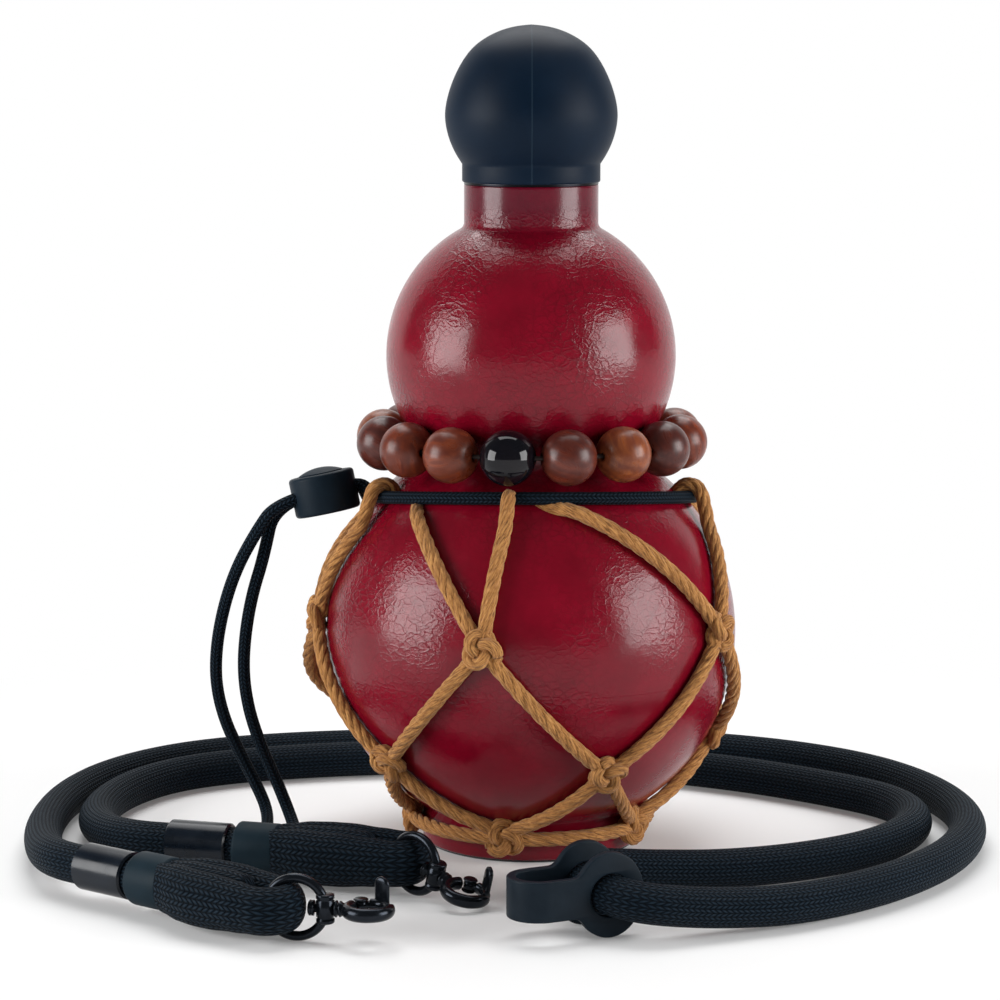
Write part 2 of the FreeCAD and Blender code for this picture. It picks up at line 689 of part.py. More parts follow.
def strand_slot(length, room_up, room_down):
    """Rounded slot along X that both strands pass, taller by the given rooms."""
    radius = DRAWCORD / 2 + CORD_ROOM
    solids = []
    for lane in (-STRAND_SPACING / 2, STRAND_SPACING / 2):
        for rise in (CORD_RAISE + room_up, CORD_RAISE - room_down):
            solids.append(cylinder(V(-length, lane, rise), V(1, 0, 0), radius, 2 * length))
    high = room_up + room_down
    wide = Part.makeBox(2 * length, STRAND_SPACING, high + 2 * radius,
                        V(-length, -STRAND_SPACING / 2, CORD_RAISE - room_down - radius))
    if high > 0:
        tall = Part.makeBox(2 * length, STRAND_SPACING + 2 * radius, high,
                            V(-length, -STRAND_SPACING / 2 - radius, CORD_RAISE - room_down))
        solids.append(tall)
    return wide.fuse(solids)


def lock_body():
    """Round body with a well for the button and a slot for the strands, its axis on Z."""
    half = LOCK_HEIGHT / 2
    body = cylinder(V(0, 0, -half), UP, LOCK_DIAMETER / 2, LOCK_HEIGHT)
    body = body.makeFillet(LOCK_EDGE, [edge for edge in body.Edges if isinstance(edge.Curve, Part.Circle)])
    well = cylinder(V(0, 0, LOCK_FLOOR - half), UP, BUTTON_DIAMETER / 2 + RUN_CLEARANCE, LOCK_HEIGHT)
    return body.cut(well).cut(strand_slot(LOCK_DIAMETER, 0, 0))


def button_foot_z():
    return CORD_RAISE - DRAWCORD / 2 - CORD_ROOM - BUTTON_FLOOR


def lock_button():
    """Plunger with a domed top; its slot is taller than the cords by the travel."""
    top = LOCK_HEIGHT / 2 + BUTTON_RISE
    low = button_foot_z()
    radius = BUTTON_DIAMETER / 2
    dome = (radius ** 2 + BUTTON_DOME ** 2) / (2 * BUTTON_DOME)
    rim_angle = math.acos(radius / dome)
    edges = [
        line(V(0, 0, low), V(radius, 0, low)),
        line(V(radius, 0, low), V(radius, 0, top - BUTTON_DOME)),
        arc(V(radius, 0, top - BUTTON_DOME), on_circle(dome, 0, top - dome, (rim_angle + math.pi / 2) / 2),
            V(0, 0, top)),
        line(V(0, 0, top), V(0, 0, low)),
    ]
    return revolved(edges).cut(strand_slot(LOCK_DIAMETER, BUTTON_TRAVEL, 0))


def lock_spring():
    """Coil spring between the well's floor and the button."""
    low = LOCK_FLOOR - LOCK_HEIGHT / 2 + SPRING_WIRE / 2 + SEAT_CLEARANCE
    high = button_foot_z() - SPRING_WIRE / 2 - SEAT_CLEARANCE
    arcs = ARCS_PER_TURN * SPRING_TURNS

    def coil_point(step):
        share = step / arcs
        start = V(SPRING_DIAMETER / 2, 0, low + (high - low) * share)
        return FreeCAD.Rotation(UP, 360 * SPRING_TURNS * share).multVec(start)

    edges = [arc(coil_point(step), coil_point(step + 1 / 2), coil_point(step + 1)) for step in range(arcs)]
    return tube(edges, SPRING_WIRE)


def tail_points():
    middle, along, up = lock_frame()
    side = up.cross(along)
    lanes = [middle + up * CORD_RAISE + side * (sign * STRAND_SPACING / 2) for sign in (1, -1)]
    leads = [lane + along * (LOCK_DIAMETER / 2 + TAIL_LEAD) for lane in lanes]
    return [lanes[0], leads[0]] + TAIL_ROUTE + [leads[1], lanes[1]]


# Places along a strap end, measured back from the bow's hinge line
SLEEVE_FACE = SLEEVE_SEAT - EYE_LEG
SLEEVE_BACK = SLEEVE_FACE - SLEEVE_LENGTH
ROPE_END = SLEEVE_BACK + SLEEVE_SEAT
FERRULE_BACK = SLEEVE_BACK - FERRULE_GAP - FERRULE_LENGTH


def ferrule():
    axis = V(1, 0, 0)
    body = cylinder(V(FERRULE_BACK, 0, 0), axis, FERRULE_DIAMETER / 2, FERRULE_LENGTH)
    body = body.makeChamfer(FERRULE_CHAMFER, [edge for edge in body.Edges if isinstance(edge.Curve, Part.Circle)])
    bore = cylinder(V(FERRULE_BACK - OVERRUN, 0, 0), axis, ROPE_DIAMETER / 2 + SEAT_CLEARANCE,
                    FERRULE_LENGTH + 2 * OVERRUN)
    return body.cut(bore)


def obround(x, width, height):
    flat = (width - height) / 2
    half = height / 2
    return Part.Wire([
        line(V(x, flat, half), V(x, -flat, half)),
        arc(V(x, -flat, half), V(x, -width / 2, 0), V(x, -flat, -half)),
        line(V(x, -flat, -half), V(x, flat, -half)),
        arc(V(x, flat, -half), V(x, width / 2, 0), V(x, flat, half)),
    ])


def eye_section(x, side, grow):
    centre = V(x, side, 0)
    ellipse = Part.Ellipse(centre + V(0, 0, EYE_HEIGHT / 2 + grow), centre + V(0, EYE_WIDTH / 2 + grow, 0), centre)
    return Part.Face(Part.Wire(ellipse.toShape()))


def rope_eye(grow=0):
    """Flattened loop: two legs side by side and the fold round the bow."""
    run = V(EYE_LEG, 0, 0)
    near = eye_section(-EYE_LEG, EYE_SPREAD, grow).extrude(run)
    far = eye_section(-EYE_LEG, -EYE_SPREAD, grow).extrude(run)
    fold = eye_section(0, EYE_SPREAD, grow).revolve(V(0, 0, 0), UP, -180)
    return near.fuse([fold, far]).removeSplitter()


def sleeve():
    """Tapered crimp that joins the rope's end to the two legs of its eye."""
    body = Part.makeLoft([obround(SLEEVE_BACK, SLEEVE_ROPE_WIDTH, SLEEVE_HEIGHT),
                          obround(SLEEVE_FACE, SLEEVE_EYE_WIDTH, SLEEVE_HEIGHT)], True)
    seat = cylinder(V(SLEEVE_BACK - OVERRUN, 0, 0), V(1, 0, 0), ROPE_DIAMETER / 2 + SEAT_CLEARANCE,
                    SLEEVE_SEAT + OVERRUN)
    return body.cut(seat).cut(rope_eye(SEAT_CLEARANCE))


def bow():
    """Round bow in the XZ plane about the origin, with the swivel's barrel on its far side."""
    wire = Part.makeTorus(BOW_RADIUS, BOW_WIRE / 2, V(0, 0, 0), V(0, 1, 0))
    barrel = cylinder(V(BOW_RADIUS, 0, -BARREL_HEIGHT / 2), UP, BARREL_DIAMETER / 2, BARREL_HEIGHT)
    hole = cylinder(V(0, 0, 0), V(1, 0, 0), SWIVEL_PIN / 2 + RUN_CLEARANCE, BARREL_OUT + OVERRUN)
    return wire.fuse(barrel).removeSplitter().cut(hole)


def gate_pivot():
    angle = math.radians(GATE_PIVOT_ANGLE)
    return V(CLAW_CENTRE + CLAW_MID_RADIUS * math.cos(angle), CLAW_MID_RADIUS * math.sin(angle), 0)


def disc(centre, radius, thickness):
    return cylinder(centre - UP * (thickness / 2), UP, radius, thickness)


def claw_ring(thickness):
    centre = V(CLAW_CENTRE, 0, 0)
    return disc(centre, CLAW_RADIUS, thickness).cut(disc(centre, CLAW_INNER_RADIUS, 2 * thickness))


def gate_zone(reach):
    """Everything on the gate's side of the claw within reach of the pivot, right of the pivot."""
    pivot = gate_pivot()
    size = 2 * CLAW_RADIUS
    block = Part.makeBox(size + CLAW_RADIUS, size, size, V(pivot.x, 0, -CLAW_RADIUS))
    return block.common(disc(pivot, reach, size))


def claw():
    """Swivel pin with its head, shank, and the hook with ears for the gate."""
    axis = V(1, 0, 0)
    barrel_in = BOW_RADIUS - BARREL_DIAMETER / 2
    head = cylinder(V(barrel_in - RUN_CLEARANCE - SWIVEL_HEAD_THICKNESS, 0, 0), axis, SWIVEL_HEAD / 2,
                    SWIVEL_HEAD_THICKNESS)
    shank_start = BARREL_OUT + RUN_CLEARANCE
    pin = cylinder(V(barrel_in - RUN_CLEARANCE - SWIVEL_HEAD_THICKNESS / 2, 0, 0), axis, SWIVEL_PIN / 2,
                   CLAW_CENTRE - CLAW_MID_RADIUS - barrel_in)
    shank = cylinder(V(shank_start, 0, 0), axis, CLAW_THICKNESS / 2, CLAW_CENTRE - CLAW_MID_RADIUS - shank_start)
    hook = claw_ring(CLAW_THICKNESS)
    outer_rims = [edge for edge in hook.Edges if isinstance(edge.Curve, Part.Circle)]
    hook = hook.makeFillet(CLAW_EDGE, outer_rims)
    hook = hook.cut(gate_zone(GATE_REACH))
    pivot = gate_pivot()
    ears = disc(pivot, KNUCKLE_RADIUS, CLAW_THICKNESS)
    slot = disc(pivot, KNUCKLE_RADIUS + GATE_GAP, KNUCKLE_THICKNESS + 2 * KNUCKLE_CLEARANCE)
    hole = disc(pivot, GATE_PIN / 2, 2 * CLAW_THICKNESS)
    opening = disc(V(CLAW_CENTRE, 0, 0), CLAW_INNER_RADIUS, 2 * CLAW_THICKNESS)
    hook = hook.fuse(ears.cut(opening)).cut(slot).cut(hole)
    return head.fuse([pin, shank, hook]).removeSplitter()


def gate():
    """Curved gate with its knuckle and a thumb tab standing on it."""
    pivot = gate_pivot()
    bar = claw_ring(CLAW_THICKNESS - GATE_GAP).common(gate_zone(GATE_REACH - GATE_GAP))
    bar = bar.cut(disc(pivot, KNUCKLE_RADIUS + GATE_GAP, 2 * CLAW_THICKNESS))
    tongue = claw_ring(KNUCKLE_THICKNESS).common(gate_zone(2 * KNUCKLE_RADIUS))
    knuckle = disc(pivot, KNUCKLE_RADIUS - KNUCKLE_CLEARANCE, KNUCKLE_THICKNESS)
    knuckle = knuckle.cut(disc(V(CLAW_CENTRE, 0, 0), CLAW_INNER_RADIUS, CLAW_THICKNESS))
    middle = math.radians(GATE_PIVOT_ANGLE / 2)
    radial = V(math.cos(middle), math.sin(middle), 0)
    tab = Part.makeBox(TAB_THICKNESS, TAB_WIDTH, TAB_HEIGHT + CLAW_THICKNESS / 2,
                       V(-TAB_THICKNESS / 2, -TAB_WIDTH / 2, 0))
    tab = placed(tab, V(CLAW_CENTRE, 0, 0) + radial * (CLAW_RADIUS - TAB_THICKNESS), radial)
    solid = bar.fuse([tongue, knuckle, tab]).removeSplitter()
    return solid.cut(disc(pivot, GATE_PIN / 2 + RUN_CLEARANCE, 2 * CLAW_THICKNESS))


def gate_pin():
    return disc(gate_pivot(), GATE_PIN / 2, CLAW_THICKNESS)


def strap_tag():
    """Bent strip with a round hole through the disc at each end."""
    centre_z = TAG_DISC_RADIUS
    half = TAG_THICKNESS / 2
    across = V(0, 1, 0)
    leaf_disc = cylinder(V(0, -half, centre_z), across, TAG_DISC_RADIUS, TAG_THICKNESS)
    strip = Part.makeBox(TAG_LEAF_LENGTH, TAG_THICKNESS, TAG_STRIP_HEIGHT,
                         V(-TAG_LEAF_LENGTH, -half, centre_z - TAG_STRIP_HEIGHT / 2))
    leaf = leaf_disc.fuse(strip).removeSplitter()
    inside = []
    for edge in leaf.Edges:
        ends = [vertex.Point for vertex in edge.Vertexes]
        along_y = len(ends) == 2 and abs(ends[0].y - ends[1].y) > half and abs(ends[0].x - ends[1].x) < half
        if along_y and -TAG_DISC_RADIUS < ends[0].x < 0:
            inside.append(edge)
    leaf = leaf.makeFillet(TAG_FILLET, inside)
    hole = cylinder(V(0, -OVERRUN, centre_z), across, TAG_HOLE_RADIUS, 2 * OVERRUN)
    leaf = leaf.cut(hole)
    front = leaf.copy()
    front.translate(V(0, -TAG_LEAF_SPACING / 2, 0))
    back = leaf.copy()
    back.translate(V(0, TAG_LEAF_SPACING / 2, 0))
    bend_base = V(-TAG_LEAF_LENGTH, 0, centre_z - TAG_STRIP_HEIGHT / 2)
    outer = cylinder(bend_base, UP, TAG_LEAF_SPACING / 2 + half, TAG_STRIP_HEIGHT)
    inner = cylinder(bend_base, UP, TAG_LEAF_SPACING / 2 - half, TAG_STRIP_HEIGHT)
    trim = Part.makeBox(TAG_LEAF_LENGTH, 2 * TAG_LEAF_SPACING, TAG_STRIP_HEIGHT,
                        bend_base - V(0, TAG_LEAF_SPACING, 0))
    return front.fuse([back, outer.cut(inner).cut(trim)]).removeSplitter()


def end_point(end, distance):
    return end["hinge"] + heading(end["heading"]) * distance


def strap_points():
    front = [end_point(END_FRONT, ROPE_END), end_point(END_FRONT, -STRAP_LEAD)]
    rear = [end_point(END_REAR, -STRAP_LEAD), end_point(END_REAR, ROPE_END)]
    return front + STRAP_ROUTE + rear


def bow_axes(end):
    """Middle of the bow and its swivel's axes, dipped in the bow's own plane."""
    level = heading(end["bow"])
    side = UP.cross(level)
    dip = FreeCAD.Rotation(side, end["dip"])
    return end["hinge"] + level * BOW_RADIUS, dip.multVec(level), dip.multVec(UP)


def build_bottle(nodes):
    nodes["lower_shell"], nodes["upper_shell"] = shell_halves()
    nodes["inner_liner"] = inner_liner()
    nodes["mouth_ring"] = mouth_ring()
    nodes["base_plate"] = base_plate()
    nodes["foot_pad"] = foot_pad()
    nodes["cap_cover"] = cap_cover()
    nodes["cap_core"] = cap_core()
    nodes["cap_seal"] = cap_seal()


def build_bracelet(nodes):
    nodes["black_bead"] = bead(0)
    for index in range(1, BEAD_COUNT):
        nodes["wood_bead_%02d" % index] = bead(index)
    nodes["bracelet_cord"] = bracelet_cord()


def build_net(nodes):
    nodes["cord_net"] = cord_net()
    nodes["waist_drawcord"] = waist_drawcord()
    middle, along, up = lock_frame()
    nodes["lock_body"] = placed(lock_body(), middle, along, up)
    nodes["lock_button"] = placed(lock_button(), middle, along, up)
    nodes["lock_spring"] = placed(lock_spring(), middle, along, up)
    edges, radii = rounded_edges(tail_points())
    nodes["drawcord_tail"] = tube(edges, DRAWCORD)
    report_cord("drawcord_tail", nodes["drawcord_tail"], edges, radii, DRAWCORD)


def build_strap(nodes):
    edges, radii = rounded_edges(strap_points())
    nodes["strap_rope"] = tube(edges, ROPE_DIAMETER)
    report_cord("strap_rope", nodes["strap_rope"], edges, radii, ROPE_DIAMETER)
    nodes["strap_tag"] = placed(strap_tag(), TAG_MIDDLE, heading(TAG_HEADING))
    for side, end in (("front", END_FRONT), ("rear", END_REAR)):
        along = heading(end["heading"])
        nodes["ferrule_" + side] = placed(ferrule(), end["hinge"], along)
        nodes["sleeve_" + side] = placed(sleeve(), end["hinge"], along)
        nodes["rope_eye_" + side] = placed(rope_eye(), end["hinge"], along)
        middle, swivel, up = bow_axes(end)
        nodes["clasp_bow_" + side] = placed(bow(), middle, swivel, up)
        nodes["clasp_claw_" + side] = placed(claw(), middle, swivel, up)
        nodes["clasp_gate_" + side] = placed(gate(), middle, swivel, up)
        nodes["gate_pin_" + side] = placed(gate_pin(), middle, swivel, up)


def main():
    os.makedirs("parts", exist_ok=True)
    nodes = {}
    build_bottle(nodes)
    build_bracelet(nodes)
    build_net(nodes)
    build_strap(nodes)
    for name, shape in nodes.items():
        print(name, "solids", len(shape.Solids), "valid", shape.isValid(), "volume", round(shape.Volume, 1))
        shape.exportStep("parts/" + name + ".step")


main()
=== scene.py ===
import math
import random

import bmesh
import bpy
from mathutils import Matrix, Quaternion, Vector


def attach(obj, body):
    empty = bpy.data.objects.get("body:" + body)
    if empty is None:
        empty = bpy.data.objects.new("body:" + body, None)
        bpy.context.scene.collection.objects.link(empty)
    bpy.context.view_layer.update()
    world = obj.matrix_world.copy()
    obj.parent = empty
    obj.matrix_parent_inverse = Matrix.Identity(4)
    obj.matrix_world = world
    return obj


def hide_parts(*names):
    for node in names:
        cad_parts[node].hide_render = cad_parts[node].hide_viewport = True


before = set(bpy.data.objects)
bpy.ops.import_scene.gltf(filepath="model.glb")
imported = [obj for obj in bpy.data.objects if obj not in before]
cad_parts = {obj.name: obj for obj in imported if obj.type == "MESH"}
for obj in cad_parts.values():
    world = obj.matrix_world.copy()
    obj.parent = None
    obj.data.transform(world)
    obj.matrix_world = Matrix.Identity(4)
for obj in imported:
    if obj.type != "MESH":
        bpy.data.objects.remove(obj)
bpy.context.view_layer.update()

MM = 0.001
TURN = 2 * math.pi
UP = Vector((0, 0, 1))

# Camera, lights and stage in metres, degrees and watts, with the lens in millimetres
CAMERA_PLACE = (-0.0084, -0.8826, 0.222)
CAMERA_LENS = 117.7
CAMERA_DIP = 8.25
# Name, place, target, width, height and watts
LIGHTS = (
    ("left_window", (-0.94, -0.34, 0.3), (0, 0, 0.13), 0.62, 0.56, 10.0),
    ("right_window", (0.94, -0.36, 0.3), (0, 0, 0.13), 0.62, 0.56, 10.0),
    ("top_panel", (0.0, 0.45, 1.08), (0, 0, 0.1), 1.0, 0.9, 11.2),
)
WORLD_STRENGTH = 0.12
STAGE_COLOR = (0.92, 0.92, 0.92)
STAGE_HALF = 6.0
STAGE_BACK = 4.0
FLOOR_Z = -0.0002
WHITE_FROM = 0.12
WHITE_TO = 0.28
FLOOR_WHITE_SHARE = 0.12

# Colours that several materials share
LACQUER = (0.19, 0.0015, 0.012)
STEEL = (0.6, 0.6, 0.61)
ROPE_BLACK = (0.0022, 0.0072, 0.0135)
ROPE_LIT = (0.012, 0.023, 0.036)
WOOD_TONES = (
    ((0.23, 0.050, 0.018), (0.095, 0.017, 0.009)),
    ((0.15, 0.030, 0.015), (0.060, 0.012, 0.009)),
    ((0.30, 0.085, 0.026), (0.130, 0.026, 0.011)),
    ((0.12, 0.026, 0.016), (0.045, 0.010, 0.008)),
    ((0.22, 0.042, 0.015), (0.085, 0.015, 0.008)),
)

# Bottle and cap; all sizes from here on are in millimetres
LOWER_RADIUS = 56.0
LOWER_Z = 58.0
UPPER_RADIUS = 39.2
WAIST_RADIUS = 31.0
WAIST_FILLET = 6.0
NECK_RADIUS = 18.1
NECK_FILLET = 2.0
NECK_HEIGHT = 10.3
FOOT_RADIUS = 29.6
SKIRT_LIFT = 0.6
SKIRT_HEIGHT = 3.0
SHELL_WALL = 0.9
SHELL_LIP = 0.4
WELD_Z = 50.0
WAIST_CENTRE_R = WAIST_RADIUS + WAIST_FILLET
WAIST_Z = LOWER_Z + math.sqrt((LOWER_RADIUS + WAIST_FILLET) ** 2 - WAIST_CENTRE_R ** 2)
UPPER_Z = WAIST_Z + math.sqrt((UPPER_RADIUS + WAIST_FILLET) ** 2 - WAIST_CENTRE_R ** 2)
NECK_FILLET_R = NECK_RADIUS + NECK_FILLET
NECK_BASE_Z = UPPER_Z + math.sqrt((UPPER_RADIUS + NECK_FILLET) ** 2 - NECK_FILLET_R ** 2)
NECK_TOP_Z = NECK_BASE_Z + NECK_HEIGHT
NECK_BAND = 5.0
CAP_BASE_Z = NECK_TOP_Z + 0.8
CAP_COLLAR_RADIUS = 18.6
CAP_COLLAR_HEIGHT = 4.6
CAP_COLLAR_DROP = 0.25
CAP_RADIUS = 23.3
CAP_CENTRE_Z = CAP_BASE_Z + CAP_COLLAR_HEIGHT + math.sqrt(CAP_RADIUS ** 2 - CAP_COLLAR_RADIUS ** 2)
CAP_CROWN_HEIGHT = 23.0
CAP_CROWN_RADIUS = 23.7
CAP_SHOULDER_RADIUS = 16.4
CAP_FLANK_RADIUS = 20.5
CAP_FLANK_HEIGHT = 9.6
CAP_EASE = 14
CAP_LIP = 0.5
CAP_WALL = 1.2
CAP_CEILING = 19.0
CAP_INNER_BAND = 6.0

# Bracelet
BEAD_COUNT = 16
BEAD_RADIUS = 7.0
BEAD_SWELL = 0.4
BEAD_HOLE = 2.0
BEAD_HOLE_EDGE = 0.35
BEAD_HOLE_DEPTH = 0.9
BEAD_REACH = UPPER_RADIUS + BEAD_RADIUS + 0.45
BRACELET_Z = WAIST_Z + 2.31
BRACELET_RADIUS = math.sqrt(BEAD_REACH ** 2 - (UPPER_Z - BRACELET_Z) ** 2)
BEAD_RING = BRACELET_RADIUS + 0.5
BEAD_RING_Z = BRACELET_Z + 0.8
BLACK_BEAD_AZIMUTH = -9.0
ELASTIC_RADIUS = 0.6

# Net
BALL_CENTRE = Vector((0, 0, LOWER_Z))
NET_CORD = 4.0
NET_GAP = 0.1
NET_STAND = NET_CORD / 2 + 0.15
NET_LAY = 20.0
NET_PLIES = 5
NET_COLUMNS = 5
NET_STEP = 360.0 / NET_COLUMNS
NET_FIRST_AZIMUTH = -85.0
NET_DRAFT = 0.8
NET_PATH_STEPS = 24
TOP_LEGS = ((-62.0, -45.0), (-7.5, 2.0), (72.0, 95.0), (152.0, 168.0), (225.0, 241.0))
ROW_HEIGHT_SHARES = (0.09, -0.51)
SLACK = (0.0, 0.0, 0.0, 1.5, 5.0)
BASE_RING_RADIUS = 32.4
BASE_RING_Z = 7.2
KNOT_STAND = 2.65
KNOT_REACH = 2.75
KNOT_LOBE = 1.55
KNOT_RISE = 1.35
KNOT_CORD_SHARE = 0.86
# Angles round the drawcord and shares of the reach
FULL_HOOK = ((-35, 1.0), (-5, 1.0), (25, 1.0), (55, 1.0), (85, 1.0), (115, 1.0), (145, 1.0))
FRONT_TUCK = ((-60, 0.92), (-40, 0.8), (-20, 0.62), (0, 0.4), (20, 0.15))
FRONT_TUCK_WITHIN = 20
UNDER_SINK = (0.15, 0.7, 1.7, 2.8, 3.3)

# Drawcord, lock and tail
DRAWCORD = 3.4
DRAW_TILT = math.radians(7.5)
DRAW_Z = BRACELET_Z - 15.1
DRAW_NORMAL = Vector((0, math.sin(DRAW_TILT), math.cos(DRAW_TILT)))
DRAW_OFFSET = (DRAW_Z - LOWER_Z) * math.cos(DRAW_TILT)
DRAW_CENTRE = BALL_CENTRE + DRAW_NORMAL * DRAW_OFFSET
DRAW_RADIUS = math.sqrt((LOWER_RADIUS + DRAWCORD / 2 + 0.15) ** 2 - DRAW_OFFSET ** 2)
DRAW_OPENING = 3.2
CORD_STEP = 0.9
CORD_SIDES = 16
LOCK_AZIMUTH = 12.0
LOCK_PITCH = math.radians(12.0)
LOCK_DIAMETER = 17.8
LOCK_HEIGHT = 10.8
LOCK_STAND = 3.0
LOCK_LIFT = 3.6
LOCK_EDGE = 1.0
LOCK_LEAD = 1.5
BUTTON_RADIUS = 6.1
BUTTON_DOME = 1.5
BUTTON_FOOT = 1.2
BUTTON_STAND = 1.7
WELL_RADIUS = 6.5
WELL_DEPTH = 4.4
WELL_EDGE = 0.2
COIL_RADIUS = 2.6
COIL_WIRE = 0.35
COIL_FOOT = 1.4
COIL_LENGTH = 3.0
COIL_TURNS = 4
COIL_STEPS = 120
CORD_RAISE = 0.6
STRAND_SPACING = 3.9
TAIL_LEAD = 4.5
TAIL_FLOOR = DRAWCORD / 2

# Strap
ROPE_DIAMETER = 10.2
ROPE_STEP = 1.2
ROPE_FLOOR = ROPE_DIAMETER / 2
ROPE_AT_TAG = 10.75
ROPE_END = -39.6
CLASP_Z = 8.5
HINGE_FRONT = Vector((-65.5, -103.3, CLASP_Z))
HINGE_REAR = Vector((-35.5, -57.5, CLASP_Z))
HEADING_FRONT = -38.0
HEADING_REAR = -16.0
EYE_SPREAD = 5.6
EYE_LEG = 35.0
EYE_LEAN = 3.0
EYE_LEAN_RATE = 2.2
EYE_WIDTH = 10.0
EYE_HEIGHT = 12.8
EYE_BRAID = 10.2
# Shares of the leg, of the width and of the height
EYE_SHARES = (
    (0.0, 0.5, 0.9), (0.12, 0.8, 1.0), (0.3, 1.0, 1.1), (0.6, 1.0, 1.1), (0.85, 0.94, 1.0), (1.0, 0.8, 0.94))
CORE_HALF_WIDTH = 5.4
CORE_HALF_HEIGHT = 6.5
CORE_END = 30.6
CORE_TAPER = 4
SLEEVE_BACK = -43.2
SLEEVE_FRONT = -31.6
SLEEVE_RADIUS = 6.9
SLEEVE_EDGE = 0.9
BOW_RADIUS = 7.3
BOW_WIRE = 1.2
BARREL_RADIUS = 2.3
BARREL_HALF = 3.7
BARREL_EDGE = 0.5
BARREL_GROOVE = ((0.0, 2.6), (0.25, 2.4), (0.25, 2.1), (0.0, 1.9))
CLAW_CENTRE = 18.0
CLAW_MID = 5.15
CLAW_WIDE = 1.5
CLAW_HIGH = 1.75
CLAW_STEM = (
    (0.0, 3.1), (1.5, 3.1), (1.95, 3.4), (1.95, 3.7), (1.6, 3.85), (1.95, 4.0), (1.95, 4.5), (1.1, 4.7),
    (1.1, 9.7), (1.9, 9.75), (2.1, 9.95), (2.1, 10.25), (1.6, 10.5), (1.6, 10.7), (2.0, 10.95), (2.0, 11.3),
    (1.6, 11.7), (1.5, 13.2), (0.0, 13.2))
CLASP_GRAIN = 4.0
CHEEK_RADIUS = 1.85
HUB_CHEEKS = ((-1.75, -1.2), (1.2, 1.75))
GATE_PIVOT = 122.0
GATE_END = 22.0
GATE_SLANT = 16.0
# Start and end angle, half width and half height
CLAW_ARC = (GATE_PIVOT + 20.0, GATE_END + 351.0, CLAW_WIDE, CLAW_HIGH)
GATE_ARC = (GATE_PIVOT - 22.0, GATE_END + 2.0, CLAW_WIDE - 0.25, CLAW_HIGH - 0.2)
GATE_ROOT = (GATE_PIVOT, GATE_PIVOT - 30.0, CLAW_WIDE - 0.35, 1.0)
GATE_HUB_RADIUS = 1.55
GATE_HUB_HALF = 1.1
DISC_BEVEL_WIDE = 0.25
DISC_BEVEL_HIGH = 0.2
TAB_ANGLE = 61.0
TAB_LOW = 0.4
TAB_HIGH = 7.4
TAB_HALF_WIDTH = 2.2
TAB_HALF_DEPTH = 0.75
# Middle of each bow, its swivel axis and its up direction
BOW_ENDS = {
    "front": (Vector((-58.311, -104.568, CLASP_Z)), Vector((0.98481, -0.17365, 0)), UP),
    "rear": (Vector((-30.075, -62.385, CLASP_Z)), Vector((0.71782, -0.64633, -0.25882)),
             Vector((0.19234, -0.17318, 0.96593))),
}
TAG_PLACE = Vector((15.5, -95.2, ROPE_AT_TAG))
TAG_HEADING = 25.5
TAG_DISC = 10.75
TAG_HOLE = 5.35
TAG_STRIP = 5.1
TAG_HALF = 1.15
TAG_EDGE = 0.4
TAG_LEAF = 16.2
TAG_OVAL = 0.86
TAG_BEND = 6.6
TAG_FILLET = 4.0
TAG_BEND_STEPS = 36


def heading(degrees):
    angle = math.radians(degrees)
    return Vector((math.cos(angle), math.sin(angle), 0))


def bearing(azimuth):
    """Direction seen from above, 0 at the front and positive towards the right."""
    angle = math.radians(azimuth)
    return Vector((math.sin(angle), -math.cos(angle), 0))


def front_point(distance):
    return HINGE_FRONT + heading(HEADING_FRONT) * distance


def rear_point(distance):
    return HINGE_REAR + heading(HEADING_REAR) * distance


def at_height(height, *places):
    return [(x, y, height) for x, y in places]


STRAP_ROUTE = [front_point(ROPE_END), front_point(-60.0), front_point(-73.0), (-129.5, -38.5, 6.2)]
STRAP_ROUTE += at_height(
    ROPE_FLOOR, (-133.6, -8.5), (-131.6, 25.0), (-121.5, 54.0), (-102.0, 76.0), (-74.0, 87.5), (-38.0, 93.0),
    (0.0, 95.5), (38.0, 92.5), (73.0, 81.0), (101.0, 59.0), (117.0, 28.0), (121.5, -7.0), (112.0, -41.0),
    (92.0, -69.5), (67.0, -90.0))
STRAP_ROUTE += [(44.0, -99.5, 6.6), (21.5, -108.5, ROPE_AT_TAG), (9.0, -82.9, ROPE_AT_TAG)]
STRAP_ROUTE += [(14.5, -70.5, 9.6), (30.0, -62.0, 6.8)]
STRAP_ROUTE += at_height(
    ROPE_FLOOR, (50.0, -55.5), (73.0, -47.0), (94.0, -31.0), (107.0, -7.0), (104.0, 17.0), (86.0, 36.0),
    (60.0, 55.5), (29.0, 70.0), (-7.0, 77.5), (-44.0, 76.0), (-79.0, 68.0), (-103.0, 55.0), (-116.6, 32.0),
    (-121.2, 4.0))
STRAP_ROUTE += [(-116.0, -20.5, 6.4), rear_point(-73.0), rear_point(-60.0), rear_point(ROPE_END)]

TAIL_ROUTE = [
    (-74.6, -10.0, 86.2), (-80.0, -7.0, 76.2), (-83.8, -4.0, 65.2), (-86.2, -1.0, 53.6), (-86.8, 2.5, 42.8),
    (-85.0, 6.0, 32.2), (-81.2, 9.5, 22.0), (-77.0, 12.0, 12.6), (-73.8, 12.0, 5.2)]
TAIL_ROUTE += at_height(
    TAIL_FLOOR, (-73.0, 5.0), (-73.4, -3.5), (-72.4, -11.0), (-65.4, -11.0), (-64.6, -3.5), (-65.6, 4.0))
TAIL_ROUTE += [
    (-68.2, 9.0, 7.0), (-71.4, 8.0, 15.6), (-75.0, 5.5, 25.0), (-77.8, 2.5, 35.2), (-79.0, 0.0, 46.0),
    (-78.2, -2.0, 57.0), (-76.0, -4.0, 68.6), (-72.6, -5.6, 79.2)]


